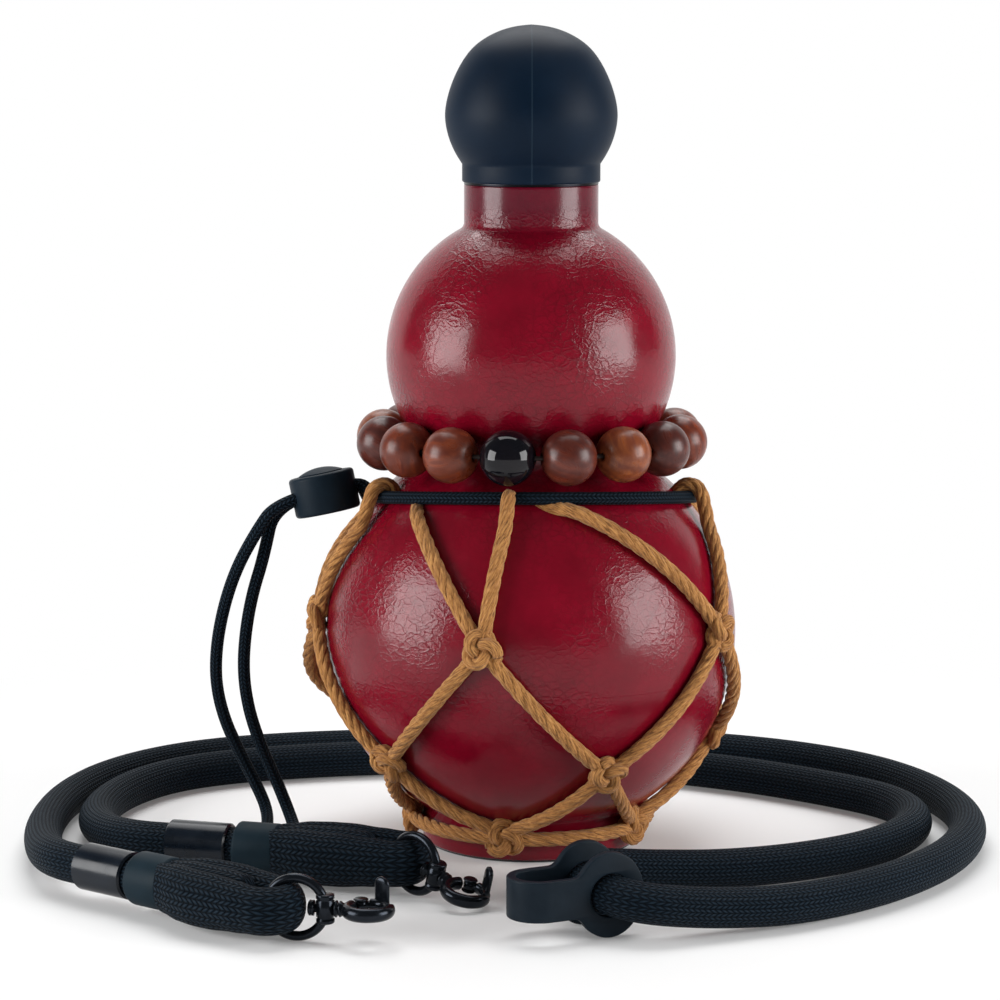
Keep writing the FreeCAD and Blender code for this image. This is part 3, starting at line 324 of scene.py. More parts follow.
def add_object(name, data):
    thing = bpy.data.objects.new(name, data)
    bpy.context.scene.collection.objects.link(thing)
    return thing


# Materials

class Paint:
    """A material and short calls for its nodes."""

    # Height in millimetres that a colour ramp spans
    RAMP_TOP = 200.0

    def __init__(self, name, color, roughness, metallic=0.0, specular=0.5):
        self.mat = bpy.data.materials.new(name)
        self.mat.use_nodes = True
        self.tree = self.mat.node_tree
        self.bsdf = self.tree.nodes["Principled BSDF"]
        self.put("Base Color", color)
        self.put("Roughness", roughness)
        self.put("Metallic", metallic)
        self.put("Specular IOR Level", specular)

    def feed(self, target, value):
        """Links a socket to another, or gives it a value."""
        if isinstance(value, bpy.types.NodeSocket):
            self.tree.links.new(value, target)
        elif target.type == "RGBA":
            target.default_value = (*value, 1)
        else:
            target.default_value = value

    def put(self, socket, value):
        self.feed(self.bsdf.inputs[socket], value)

    def add(self, kind, inputs=None, **settings):
        """A new node with its settings, and with its inputs given by name or number."""
        node = self.tree.nodes.new("ShaderNode" + kind)
        for name, value in settings.items():
            setattr(node, name, value)
        for key, value in (inputs or {}).items():
            self.feed(node.inputs[key], value)
        return node

    def coords(self, kind="Object"):
        return self.add("TexCoord").outputs[kind]

    def split(self, vector):
        return self.add("SeparateXYZ", {0: vector}).outputs

    def mapped(self, vector, scale, rotate=(0, 0, 0), move=(0, 0, 0)):
        inputs = {"Vector": vector, "Scale": scale, "Rotation": rotate, "Location": move}
        return self.add("Mapping", inputs).outputs[0]

    def math(self, operation, first, second=0.0):
        return self.add("Math", {0: first, 1: second}, operation=operation).outputs[0]

    def times(self, first, second):
        return self.math("MULTIPLY", first, second)

    def plus(self, first, second, share):
        """The first value and a share of the second."""
        return self.math("ADD", first, self.times(second, share))

    def vector(self, operation, inputs):
        return self.add("VectorMath", inputs, operation=operation).outputs

    def noise(self, vector, scale, detail=3.0, rough=0.55, distortion=0.0, output="Fac"):
        inputs = {"Vector": vector, "Scale": scale, "Detail": detail, "Roughness": rough}
        inputs["Distortion"] = distortion
        return self.add("TexNoise", inputs).outputs[output]

    def cells(self, vector, scale):
        """Distance from the edges of a field of cells."""
        inputs = {"Vector": vector, "Scale": scale}
        return self.add("TexVoronoi", inputs, feature="DISTANCE_TO_EDGE").outputs["Distance"]

    def ramp(self, factor, *stops):
        node = self.add("ValToRGB", {0: factor})
        elements = node.color_ramp.elements
        while len(elements) < len(stops):
            elements.new(0.5)
        for element, (place, color) in zip(elements, stops):
            element.position = place
            element.color = (*color, 1)
        return node.outputs[0]

    def grey(self, factor, *stops):
        return self.ramp(factor, *[(place, (value, value, value)) for place, value in stops])

    def by_height(self, rise, *stops):
        """Grey ramp over the height, with its stops in millimetres above the floor."""
        share = self.times(rise, 1 / (self.RAMP_TOP * MM))
        return self.grey(share, *[(height / self.RAMP_TOP, value) for height, value in stops])

    def line(self, distance, width):
        """1 on a line, falling to 0 at a width in millimetres."""
        return self.grey(self.times(distance, 1 / MM), (0.0, 1.0), (width, 0.0))

    def mix(self, factor, first, second):
        return self.add("Mix", {0: factor, 6: first, 7: second}, data_type="RGBA").outputs[2]

    def warp(self, vector, scale, amount):
        """The vector pushed about by noise."""
        noise = self.noise(vector, scale, 2.0, output="Color")
        middle = self.vector("SUBTRACT", {0: noise, 1: (0.5, 0.5, 0.5)})[0]
        push = self.vector("SCALE", {0: middle, "Scale": amount})[0]
        return self.vector("ADD", {0: vector, 1: push})[0]

    def bump(self, height, strength, distance, normal=None):
        inputs = {"Height": height, "Strength": strength, "Distance": distance}
        if normal is not None:
            inputs["Normal"] = normal
        return self.add("Bump", inputs).outputs[0]

    def relief(self, height, strength, distance, normal=None):
        self.put("Normal", self.bump(height, strength, distance, normal))

    def rough(self, factor, low, high):
        self.put("Roughness", self.grey(factor, (0.3, low), (0.7, high)))

    def tones(self, factor, color, dark, light):
        """Base colour between two shares of a colour."""
        self.put("Base Color", self.ramp(factor, (0.3, scaled(color, dark)), (0.75, scaled(color, light))))


def scaled(color, share):
    return tuple(share * value for value in color)


def stage_paint(name, share_near):
    """Matt paint that seen rays meet as a mix with plain white: a share of it close by, all of it far off."""
    paint = Paint(name, STAGE_COLOR, 1.0)
    paint.tree.nodes.remove(paint.bsdf)
    rays = paint.add("LightPath").outputs
    seen = paint.math("MAXIMUM", rays["Is Camera Ray"], rays["Is Glossy Ray"])
    seen = paint.math("MAXIMUM", seen, rays["Is Transmission Ray"])
    away = paint.vector("LENGTH", {0: paint.coords()})["Value"]
    span = {"Value": away, "From Min": WHITE_FROM, "From Max": WHITE_TO, "To Min": share_near, "To Max": 1.0}
    spread = paint.add("MapRange", span, interpolation_type="SMOOTHSTEP").outputs["Result"]
    matt = paint.add("BsdfDiffuse", {"Color": STAGE_COLOR}).outputs[0]
    white = paint.add("Emission", {"Color": (1, 1, 1), "Strength": 1.0}).outputs[0]
    mixed = paint.add("MixShader", {"Fac": paint.times(spread, seen), 1: matt, 2: white}).outputs[0]
    paint.feed(paint.tree.nodes["Material Output"].inputs["Surface"], mixed)
    return paint.mat


def red_lacquer():
    paint = Paint("red_lacquer", LACQUER, 0.2, specular=0.32)
    spot = paint.coords()
    rise = paint.split(spot)[2]
    flat = paint.mapped(spot, (1.0, 1.0, 1.35))
    cracks = paint.cells(paint.warp(flat, 210.0, 0.004), 360.0)
    small = paint.cells(paint.warp(flat, 400.0, 0.003), 640.0)
    patches = paint.grey(paint.noise(spot, 34.0), (0.38, 0.12), (0.6, 1.0))
    where = paint.by_height(rise, (24.0, 0.2), (60.0, 1.0), (170.4, 1.0), (174.8, 0.12))
    where = paint.times(patches, where)
    ridge = paint.times(paint.grey(cracks, (0.0, 1.0), (0.07, 0.45), (0.18, 0.0)), where)
    fine = paint.times(paint.grey(small, (0.0, 1.0), (0.08, 0.3), (0.2, 0.0)), where)
    cloud = paint.noise(spot, 230.0, 4.0)
    weld_and_shade_band = paint.line(paint.math("ABSOLUTE", paint.math("SUBTRACT", rise, WELD_Z * MM)), 0.4)
    height = paint.plus(paint.plus(paint.plus(ridge, fine, 0.45), cloud, 0.45), weld_and_shade_band, 0.35)
    paint.relief(height, 0.5, 0.0001)
    tone = paint.noise(spot, 70.0, 5.0, 0.6)
    color = paint.ramp(tone, (0.3, (0.145, 0.001, 0.009)), (0.55, LACQUER), (0.78, (0.23, 0.002, 0.015)))
    color = paint.mix(paint.times(ridge, 0.4), color, (0.06, 0.0012, 0.005))
    color = paint.mix(paint.times(fine, 0.3), color, (0.08, 0.0015, 0.006))
    # Painted shade: the lacquer darkens up the neck, standing in for the shadow under the cap
    neck = paint.by_height(rise, (166.0, 0.0), (174.0, 0.6))
    color = paint.mix(neck, color, (0.04, 0.0008, 0.01))
    # Painted shadow: the top edge of the neck turns near black, standing in for the dark gap under the cap
    rim = paint.by_height(rise, (179.74, 0.0), (179.9, 1.0))
    paint.put("Base Color", paint.mix(rim, color, (0.004, 0.001, 0.002)))
    paint.rough(cloud, 0.16, 0.25)
    return paint.mat


def cap_plastic():
    paint = Paint("navy_plastic", (0.002, 0.009, 0.022), 0.5, specular=0.11)
    spot = paint.coords()
    cloud = paint.noise(spot, 60.0)
    seam_and_highlight = paint.line(paint.math("ABSOLUTE", paint.split(spot)[0]), 0.28)
    grain = paint.bump(paint.noise(spot, 2600.0, 2.0), 0.12, 0.00005)
    paint.relief(seam_and_highlight, 0.4, 0.0001, grain)
    paint.rough(cloud, 0.46, 0.52)
    color = paint.ramp(cloud, (0.3, (0.0012, 0.0075, 0.019)), (0.7, (0.0022, 0.0100, 0.024)))
    # The parting line is a real ridge in the bump; its lighter colour is a painted highlight
    paint.put("Base Color", paint.mix(paint.times(seam_and_highlight, 0.5), color, (0.02, 0.04, 0.06)))
    return paint.mat


def steel():
    """Brushed steel, with a painted shadow: a dark band round the mouth ring at the neck's top, where it
    shows in the gap under the cap.
    """
    paint = Paint("steel", STEEL, 0.3, 1.0)
    spot = paint.coords()
    # Painted shadow: a dark band on the steel across the gap between the neck and the cap
    weld_and_shade_band = paint.by_height(paint.split(spot)[2], (179.3, 0.0), (179.4, 1.0), (180.84, 1.0), (180.94, 0.0))
    paint.put("Base Color", paint.mix(weld_and_shade_band, STEEL, (0.01, 0.01, 0.012)))
    brush = paint.noise(paint.mapped(spot, (60, 60, 4000)), 1.0, 2.0)
    paint.rough(brush, 0.22, 0.4)
    paint.relief(brush, 0.1, 0.00004)
    return paint.mat


def rubber(name, color):
    paint = Paint(name, color, 0.7)
    grain = paint.noise(paint.coords(), 1800.0, 2.0)
    paint.relief(grain, 0.2, 0.00005)
    paint.rough(grain, 0.62, 0.78)
    return paint.mat


def bead_wood(index, light, dark):
    """Turned wood; the index turns and shifts the grain."""
    paint = Paint("bead_wood_%d" % index, light, 0.34, specular=0.35)
    turn = (0.3 * index, 0.7 * index, 0)
    spot = paint.mapped(paint.coords(), (1, 1, 1), turn, (0.013 * index, 0.021 * index, 0))
    fibre = paint.noise(paint.mapped(spot, (560, 560, 80)), 1.0, 5.0, 0.62, 0.6)
    log = paint.mapped(spot, (1, 1, 0.25), move=(0.011, 0.006, 0))
    grain = {"Vector": log, "Scale": 130.0, "Distortion": 6.0, "Detail": 3.0, "Detail Scale": 1.4}
    rings = paint.add("TexWave", grain, wave_type="RINGS", rings_direction="Z").outputs["Fac"]
    cloud = paint.noise(spot, 110.0)
    base = paint.ramp(fibre, (0.3, dark), (0.7, light))
    base = paint.mix(paint.grey(rings, (0.1, 0.4), (0.7, 0.0)), base, dark)
    base = paint.mix(paint.grey(cloud, (0.42, 0.0), (0.75, 0.5)), base, scaled(dark, 0.5))
    paint.put("Base Color", base)
    paint.relief(fibre, 0.1, 0.00006)
    paint.put("Roughness", paint.grey(fibre, (0.3, 0.38), (0.65, 0.26)))
    return paint.mat


def black_gloss():
    paint = Paint("black_gloss", (0.004, 0.004, 0.006), 0.07, specular=0.3)
    cloud = paint.noise(paint.coords(), 90.0)
    paint.put("Base Color", paint.ramp(cloud, (0.4, (0.003, 0.003, 0.005)), (0.75, (0.008, 0.006, 0.008))))
    paint.rough(cloud, 0.05, 0.1)
    return paint.mat


def twisted_cotton():
    paint = Paint("brown_cord", (0.3, 0.12, 0.028), 0.9, specular=0.2)
    paint.put("Sheen Weight", 0.12)
    paint.put("Sheen Roughness", 0.6)
    yarn = paint.mapped(paint.coords("UV"), (4.5, 0.4, 1.0), (0, 0, 0.25))
    fibre = paint.noise(yarn, 3.0, 5.0, 0.65, 0.4)
    spot = paint.coords()
    cloud = paint.noise(spot, 120.0, 4.0)
    fuzz = paint.noise(spot, 2300.0, 2.0)
    color = paint.ramp(
        fibre, (0.34, (0.1, 0.038, 0.01)), (0.48, (0.4, 0.172, 0.045)), (0.66, (0.66, 0.34, 0.11)))
    color = paint.mix(paint.grey(cloud, (0.4, 0.0), (0.7, 0.4)), color, (0.27, 0.11, 0.03))
    color = paint.mix(paint.grey(fuzz, (0.5, 0.0), (0.8, 0.3)), color, (0.45, 0.22, 0.07))
    paint.put("Base Color", color)
    paint.relief(paint.plus(fibre, fuzz, 0.5), 0.9, 0.0004)
    return paint.mat


def braid(name, columns, rows, lit, strength, distance, roughness):
    """Braided sheath: columns of slanted yarns round the cord, rows per unit of its length."""
    paint = Paint(name, ROPE_BLACK, roughness, specular=0.06)
    paint.put("Sheen Weight", 0.01)
    paint.put("Sheen Roughness", 0.5)
    surface = paint.split(paint.coords("UV"))
    around = paint.times(surface[0], columns)
    across = paint.math("FRACT", around)
    odd = paint.math("MODULO", paint.math("FLOOR", around), 2.0)
    lean = paint.math("SUBTRACT", paint.times(odd, 2.0), 1.0)
    slope = paint.times(paint.math("SUBTRACT", across, 0.5), lean)
    along = paint.math("FRACT", paint.plus(paint.times(surface[1], rows), slope, 0.9))
    high = paint.math("SINE", paint.times(along, math.pi))
    wide = paint.math("SINE", paint.times(across, math.pi))
    yarn = paint.times(paint.math("POWER", high, 0.6), paint.math("POWER", wide, 0.5))
    spot = paint.coords()
    fuzz = paint.noise(spot, 2600.0, 2.0)
    cloud = paint.noise(spot, 45.0)
    paint.relief(paint.plus(yarn, fuzz, 0.2), strength, distance)
    # Painted light: the yarn crowns take the lit colour, a painted highlight, and the gaps between yarns go
    # darker, a painted shade
    color = paint.ramp(yarn, (0.15, scaled(ROPE_BLACK, 0.2)), (0.6, ROPE_BLACK), (0.95, lit))
    color = paint.mix(paint.grey(cloud, (0.35, 0.0), (0.7, 0.35)), color, scaled(ROPE_BLACK, 0.7))
    paint.put("Base Color", color)
    paint.put("Roughness", paint.grey(yarn, (0.2, roughness + 0.2), (0.9, roughness)))
    return paint.mat


def black_metal(name, color, rough, metallic):
    paint = Paint(name, color, rough, metallic, 0.26)
    spot = paint.coords()
    cloud = paint.noise(spot, 140.0, 4.0)
    paint.rough(cloud, rough * 0.8, rough * 1.35)
    paint.tones(cloud, color, 0.8, 1.35)
    paint.relief(paint.noise(spot, 1500.0, 2.0), 0.05, 0.00004)
    return paint.mat


def moulded_plastic(name, color, rough):
    paint = Paint(name, color, rough, specular=0.08)
    spot = paint.coords()
    cloud = paint.noise(spot, 90.0)
    paint.relief(paint.noise(spot, 2200.0), 0.22, 0.00006)
    paint.rough(cloud, rough - 0.06, rough + 0.08)
    paint.tones(cloud, color, 0.8, 1.25)
    return paint.mat


def leather():
    paint = Paint("black_leather", (0.007, 0.013, 0.02), 0.42, specular=0.09)
    spot = paint.coords()
    pores = paint.bump(paint.cells(paint.warp(spot, 900.0, 0.0006), 1500.0), 0.15, 0.00006)
    brushed = paint.noise(paint.mapped(spot, (90, 90, 1500)), 1.0)
    cloud = paint.noise(spot, 120.0, 4.0)
    paint.relief(brushed, 0.14, 0.00006, pores)
    paint.rough(cloud, 0.36, 0.5)
    paint.put("Base Color", paint.ramp(cloud, (0.3, (0.005, 0.010, 0.016)), (0.75, (0.010, 0.017, 0.025))))
    return paint.mat


def make_materials():
    return {
        "red": red_lacquer(),
        "cap": cap_plastic(),
        "steel": steel(),
        "rubber": rubber("rubber", (0.03, 0.03, 0.032)),
        "elastic": rubber("elastic", (0.025, 0.012, 0.009)),
        "woods": [bead_wood(index, light, dark) for index, (light, dark) in enumerate(WOOD_TONES)],
        "black_bead": black_gloss(),
        "net": twisted_cotton(),
        "cord": braid("black_cord", 10.0, 2.8, (0.014, 0.026, 0.040), 0.9, 0.0004, 0.55),
        "rope": braid("black_rope", 32.0, 6.8, ROPE_LIT, 0.8, 0.0005, 0.52),
        "eye": braid("eye_braid", 30.0, 6.0, ROPE_LIT, 0.9, 0.0006, 0.5),
        "ferrule": black_metal("ferrule_black", (0.004, 0.007, 0.012), 0.2, 0.0),
        "sleeve": moulded_plastic("dark_sleeve", (0.008, 0.018, 0.026), 0.5),
        "lock": moulded_plastic("lock_plastic", (0.007, 0.014, 0.022), 0.42),
        "clasp": black_metal("black_nickel", (0.012, 0.015, 0.02), 0.2, 0.7),
        "leather": leather(),
    }


# Camera, light and floor

def make_camera():
    data = bpy.data.cameras.new("camera")
    data.sensor_width = 36.0
    data.lens = CAMERA_LENS
    data.clip_end = 20.0
    camera = add_object("camera", data)
    camera.location = CAMERA_PLACE
    camera.rotation_euler = (math.radians(90 - CAMERA_DIP), 0, 0)
    bpy.context.scene.camera = camera


def area_light(name, place, target, size, size_y, watts):
    data = bpy.data.lights.new(name, "AREA")
    data.shape = "RECTANGLE"
    data.size = size
    data.size_y = size_y
    data.energy = watts
    light = add_object(name, data)
    light.location = place
    aim = Vector(target) - Vector(place)
    light.rotation_euler = aim.to_track_quat("-Z", "Y").to_euler()


def make_world():
    world = bpy.data.worlds.new("studio")
    bpy.context.scene.world = world
    world.use_nodes = True
    shade = world.node_tree.nodes["Background"]
    shade.inputs["Color"].default_value = (1, 1, 1, 1)
    shade.inputs["Strength"].default_value = WORLD_STRENGTH


def stage_plane(name, corners, mat):
    mesh = bpy.data.meshes.new(name)
    mesh.from_pydata(corners, [], [(0, 1, 2, 3)])
    mesh.materials.append(mat)
    plane = add_object(name, mesh)


def make_stage():
    half = STAGE_HALF
    low = FLOOR_Z
    floor = [(-half, -half, low), (half, -half, low), (half, half, low), (-half, half, low)]
    wall = [(x, STAGE_BACK, z) for x, z in ((-half, low), (half, low), (half, half), (-half, half))]
    stage_plane("floor", floor, stage_paint("pale_floor", FLOOR_WHITE_SHARE))
    stage_plane("backdrop", wall, stage_paint("pale_backdrop", 1.0))


# Mesh helpers

class Shell:
    """Gathers points in millimetres, faces and UVs, then makes one smooth object."""

    def __init__(self):
        self.points = []
        self.faces = []
        self.uvs = []

    def face(self, corners, uvs=None):
        self.faces.append(corners)
        self.uvs.append(uvs or [(0.0, 0.0)] * len(corners))

    def loft(self, rings, uv_length, closed=False):
        """Joins rings of points one after another; an open run gets a face at both ends."""
        base = len(self.points)
        count = len(rings[0])
        lengths = [0.0]
        middles = [sum(ring, Vector()) / count for ring in rings]
        for first, last in zip(middles, middles[1:] + middles[:1]):
            lengths.append(lengths[-1] + (last - first).length)
        for ring in rings:
            self.points.extend(ring)
        rows = len(rings) if closed else len(rings) - 1
        for row in range(rows):
            low = base + row * count
            high = base + (row + 1) % len(rings) * count
            v0 = lengths[row] / uv_length
            v1 = lengths[row + 1] / uv_length
            for column in range(count):
                following = (column + 1) % count
                u0 = column / count
                u1 = (column + 1) / count
                self.face((low + column, low + following, high + following, high + column),
                          [(u0, v0), (u1, v0), (u1, v1), (u0, v1)])
        if not closed:
            self.face(tuple(base + column for column in reversed(range(count))))
            self.face(tuple(base + rows * count + column for column in range(count)))

    def tube(self, path, section, uv_length, closed=False):
        """Sweeps a closed section of (side, rise) points along a path."""
        path = [Vector(point) for point in path]
        rings = []
        for point, (side, rise) in zip(path, frames_along(path, closed)):
            rings.append([point + side * across + rise * up for across, up in section])
        self.loft(rings, uv_length, closed)

    def lathe(self, profile, segments, axis_point=Vector((0, 0, 0)), turn=Matrix.Identity(3), loop=False):
        """Turns (radius, height) points round an axis; loop joins the last point to the first."""
        rows = []
        for radius, height in profile:
            if radius < 1e-6:
                rows.append([len(self.points)] * segments)
                self.points.append(axis_point + turn @ Vector((0, 0, height)))
                continue
            row = []
            for step in range(segments):
                angle = TURN * step / segments
                row.append(len(self.points))
                local = Vector((radius * math.cos(angle), radius * math.sin(angle), height))
                self.points.append(axis_point + turn @ local)
            rows.append(row)
        pairs = list(zip(rows, rows[1:]))
        if loop:
            pairs.append((rows[-1], rows[0]))
        for low, high in pairs:
            for step in range(segments):
                following = (step + 1) % segments
                corners = []
                for corner in (low[step], low[following], high[following], high[step]):
                    if corner not in corners:
                        corners.append(corner)
                if len(corners) > 2:
                    self.face(tuple(corners))

    def make(self, name, mat, body, slot, replaced, place=None):
        mesh = bpy.data.meshes.new(name)
        mesh.from_pydata([point * MM for point in self.points], [], self.faces)
        layer = mesh.uv_layers.new(name="UVMap")
        layer.data.foreach_set("uv", [value for face in self.uvs for corner in face for value in corner])
        mesh.shade_smooth()
        mesh.materials.append(mat)
        piece = add_object(name, mesh)
        if place is not None:
            piece.matrix_world = place
        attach(piece, body)
        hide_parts(*replaced)
        return piece


def frames_along(path, closed):
    """Side and rise directions along a path, carried on without twist."""
    count = len(path)
    tangents = []
    for index in range(count):
        before = path[index - 1] if index > 0 or closed else path[0]
        after = path[(index + 1) % count] if index < count - 1 or closed else path[-1]
        tangents.append((after - before).normalized())
    guess = UP if abs(tangents[0].z) < 0.9 else Vector((1, 0, 0))
    side = tangents[0].cross(guess)
    side = (side - tangents[0] * side.dot(tangents[0])).normalized()
    sides = [side]
    for old, new in zip(tangents, tangents[1:]):
        side = old.rotation_difference(new) @ side
        side = (side - new * side.dot(new)).normalized()
        sides.append(side)
    if closed:
        back = tangents[-1].rotation_difference(tangents[0]) @ sides[-1]
        slip = math.atan2(back.cross(sides[0]).dot(tangents[0]), back.dot(sides[0]))
        for index, tangent in enumerate(tangents):
            sides[index] = Quaternion(tangent, slip * index / count) @ sides[index]
    return [(one, tangent.cross(one)) for tangent, one in zip(tangents, sides)]


def circle(radius, count):
    angles = [TURN * step / count for step in range(count)]
    return [(radius * math.cos(angle), radius * math.sin(angle)) for angle in angles]


def resampled(path, step):
    """Points of a polyline, evenly spaced."""
    path = [Vector(point) for point in path]
    lengths = [0.0]
    for first, last in zip(path, path[1:]):
        lengths.append(lengths[-1] + (last - first).length)
    count = max(2, round(lengths[-1] / step))
    points = []
    row = 0
    for index in range(count + 1):
        want = lengths[-1] * index / count
        while row < len(path) - 2 and lengths[row + 1] < want:
            row += 1
        span = lengths[row + 1] - lengths[row]
        share = 0.0 if span == 0 else (want - lengths[row]) / span
        points.append(path[row].lerp(path[row + 1], share))
    return points


def smoothed(path, rounds):
    """Polyline with its inner points eased towards their neighbours."""
    for _ in range(rounds):
        inner = [(a + b * 2 + c) / 4 for a, b, c in zip(path, path[1:], path[2:])]
        path = path[:1] + inner + path[-1:]
    return path


def curve_mesh(curve):
    """Mesh made from a curve; the curve is removed."""
    holder = add_object(curve.name, curve)
    bpy.context.view_layer.update()
    mesh = bpy.data.meshes.new_from_object(holder)
    bpy.data.objects.remove(holder)
    bpy.data.curves.remove(curve)
    return mesh


def spline_points(name, route):
    """Points along the smooth line that a route of control points gives, in millimetres."""
    curve = bpy.data.curves.new(name, "CURVE")
    curve.dimensions = "3D"
    curve.resolution_u = 14
    spline = curve.splines.new("NURBS")
    spline.points.add(len(route) - 1)
    for point, place in zip(spline.points, route):
        point.co = (place[0] * MM, place[1] * MM, place[2] * MM, 1)
    spline.order_u = 3
    spline.use_endpoint_u = True
    mesh = curve_mesh(curve)
    points = [vertex.co / MM for vertex in mesh.vertices]
    bpy.data.meshes.remove(mesh)
    return points


def arc(centre, radius, start, end, count):
    """(radius, height) points of an arc from one angle to another, in degrees."""
    points = []
    for step in range(count + 1):
        angle = math.radians(start + (end - start) * step / count)
        points.append((centre[0] + radius * math.cos(angle), centre[1] + radius * math.sin(angle)))
    return points


def round_body(radius, low, high, edge, count, between):
    """Profile of a solid round body with rounded edges, and the points between them."""
    corner = radius - edge
    points = [(0.0, low)] + arc((corner, low + edge), edge, -90, 0, count) + between
    return points + arc((corner, high - edge), edge, 0, 90, count) + [(0.0, high)]


def disc(radius, low, high):
    """Profile of a disc with bevelled edges."""
    flat = radius - DISC_BEVEL_WIDE
    bevel = DISC_BEVEL_HIGH
    return [(0.0, low), (flat, low), (radius, low + bevel), (radius, high - bevel), (flat, high), (0.0, high)]


def arc_through(first, middle, last, count):
    """Points of the circle through three points, from the first to the last."""
    ax, ay = first
    bx, by = middle
    cx, cy = last
    d = 2 * (ax * (by - cy) + bx * (cy - ay) + cx * (ay - by))
    a2 = ax * ax + ay * ay
    b2 = bx * bx + by * by
    c2 = cx * cx + cy * cy
    ux = (a2 * (by - cy) + b2 * (cy - ay) + c2 * (ay - by)) / d
    uy = (a2 * (cx - bx) + b2 * (ax - cx) + c2 * (bx - ax)) / d
    radius = math.hypot(ax - ux, ay - uy)
    start = math.atan2(ay - uy, ax - ux)
    end = math.atan2(cy - uy, cx - ux)
    angles = [start + (end - start) * step / count for step in range(count + 1)]
    return [(ux + radius * math.cos(angle), uy + radius * math.sin(angle)) for angle in angles]


# Bottle and cap

def gourd_profile(offset, bottom_angle):
    """Outline of the two chambers, the waist and the neck's foot, at an offset inside the outer face."""
    low = math.degrees(math.atan2(WAIST_Z - LOWER_Z, WAIST_CENTRE_R))
    high = math.degrees(math.atan2(WAIST_Z - UPPER_Z, WAIST_CENTRE_R))
    top = math.degrees(math.atan2(NECK_BASE_Z - UPPER_Z, NECK_FILLET_R))
    waist = WAIST_FILLET + offset
    points = arc((0, LOWER_Z), LOWER_RADIUS - offset, bottom_angle, low, 70)
    points += arc((WAIST_CENTRE_R, WAIST_Z), waist, 180 + low, 180 + high, 14)[1:]
    points += arc((0, UPPER_Z), UPPER_RADIUS - offset, high, top, 54)[1:]
    points += arc((NECK_FILLET_R, NECK_BASE_Z), NECK_FILLET + offset, 180 + top, 180, 8)[1:]
    return points


def make_bottle(mats):
    shell = Shell()
    lip = SHELL_LIP
    skirt = -math.degrees(math.acos(FOOT_RADIUS / LOWER_RADIUS))
    inner_foot = FOOT_RADIUS - SHELL_WALL
    inner_skirt = -math.degrees(math.acos(inner_foot / (LOWER_RADIUS - SHELL_WALL)))
    profile = [(inner_foot, SKIRT_LIFT), (FOOT_RADIUS - lip, SKIRT_LIFT), (FOOT_RADIUS, SKIRT_LIFT + lip)]
    profile += [(FOOT_RADIUS, SKIRT_LIFT + SKIRT_HEIGHT)] + gourd_profile(0.0, skirt)
    profile += [(NECK_RADIUS, NECK_TOP_Z - NECK_BAND), (NECK_RADIUS, NECK_TOP_Z - 2 * lip)]
    profile += arc((NECK_RADIUS - lip, NECK_TOP_Z - lip), lip, 0, 90, 4)
    profile += [(NECK_RADIUS - SHELL_WALL, NECK_TOP_Z)]
    profile += list(reversed(gourd_profile(SHELL_WALL, inner_skirt)))
    shell.lathe(profile, 192, loop=True)
    shell.make("red_gourd", mats["red"], "bottle", "red_lacquer", ("lower_shell", "upper_shell"))


def cap_profile():
    """Outline of the ball from the collar to the top, with its creases eased."""
    collar_angle = -math.degrees(math.acos(CAP_COLLAR_RADIUS / CAP_RADIUS))
    crown_z = CAP_CENTRE_Z + CAP_CROWN_HEIGHT - CAP_CROWN_RADIUS
    shoulder_angle = math.degrees(math.acos(CAP_SHOULDER_RADIUS / CAP_CROWN_RADIUS))
    flank = (CAP_FLANK_RADIUS, CAP_CENTRE_Z + CAP_FLANK_HEIGHT)
    crown = arc((0, crown_z), CAP_CROWN_RADIUS, shoulder_angle, 90, 22)
    points = arc((0, CAP_CENTRE_Z), CAP_RADIUS, collar_angle, 0, 24)
    points += arc_through(points[-1], flank, crown[0], 20)[1:] + crown[1:-1]
    points.append((0.0, crown_z + CAP_CROWN_RADIUS))
    for _ in range(CAP_EASE):
        inner = []
        for (x0, y0), (x1, y1), (x2, y2) in zip(points, points[1:], points[2:]):
            inner.append(((x0 + 2 * x1 + x2) / 4, (y0 + 2 * y1 + y2) / 4))
        points = points[:1] + inner + points[-1:]
    return points


def make_cap(mats):
    shell = Shell()
    radius = CAP_COLLAR_RADIUS
    inside = radius - CAP_WALL
    base = CAP_BASE_Z - CAP_COLLAR_DROP
    profile = [(inside, CAP_BASE_Z + CAP_INNER_BAND), (inside, base)]
    profile += arc((radius - CAP_LIP, base + CAP_LIP), CAP_LIP, -90, 0, 4)
    profile += [(radius, CAP_BASE_Z + CAP_COLLAR_HEIGHT / 2)]
    profile += [(radius, CAP_BASE_Z + CAP_COLLAR_HEIGHT - CAP_LIP)]
    profile += cap_profile()
    profile += [(0.0, CAP_BASE_Z + CAP_CEILING), (inside, CAP_BASE_Z + CAP_CEILING)]
    shell.lathe(profile, 160, loop=True)
    shell.make("cap_ball", mats["cap"], "cap", "navy_plastic", ("cap_cover",))


# Bracelet

def bead_shell():
    shell = Shell()
    hole = BEAD_HOLE / 2
    radius = BEAD_RADIUS + BEAD_SWELL
    start = math.degrees(math.asin((hole + BEAD_HOLE_EDGE) / radius))
    end = math.sqrt(radius ** 2 - hole ** 2) - BEAD_HOLE_EDGE
    profile = [(hole, -radius + BEAD_HOLE_DEPTH), (hole, -end)]
    profile += arc((0, 0), radius, -90 + start, 90 - start, 34)
    profile += [(hole, end), (hole, radius - BEAD_HOLE_DEPTH)]
    shell.lathe(profile, 48, loop=True)
    return shell


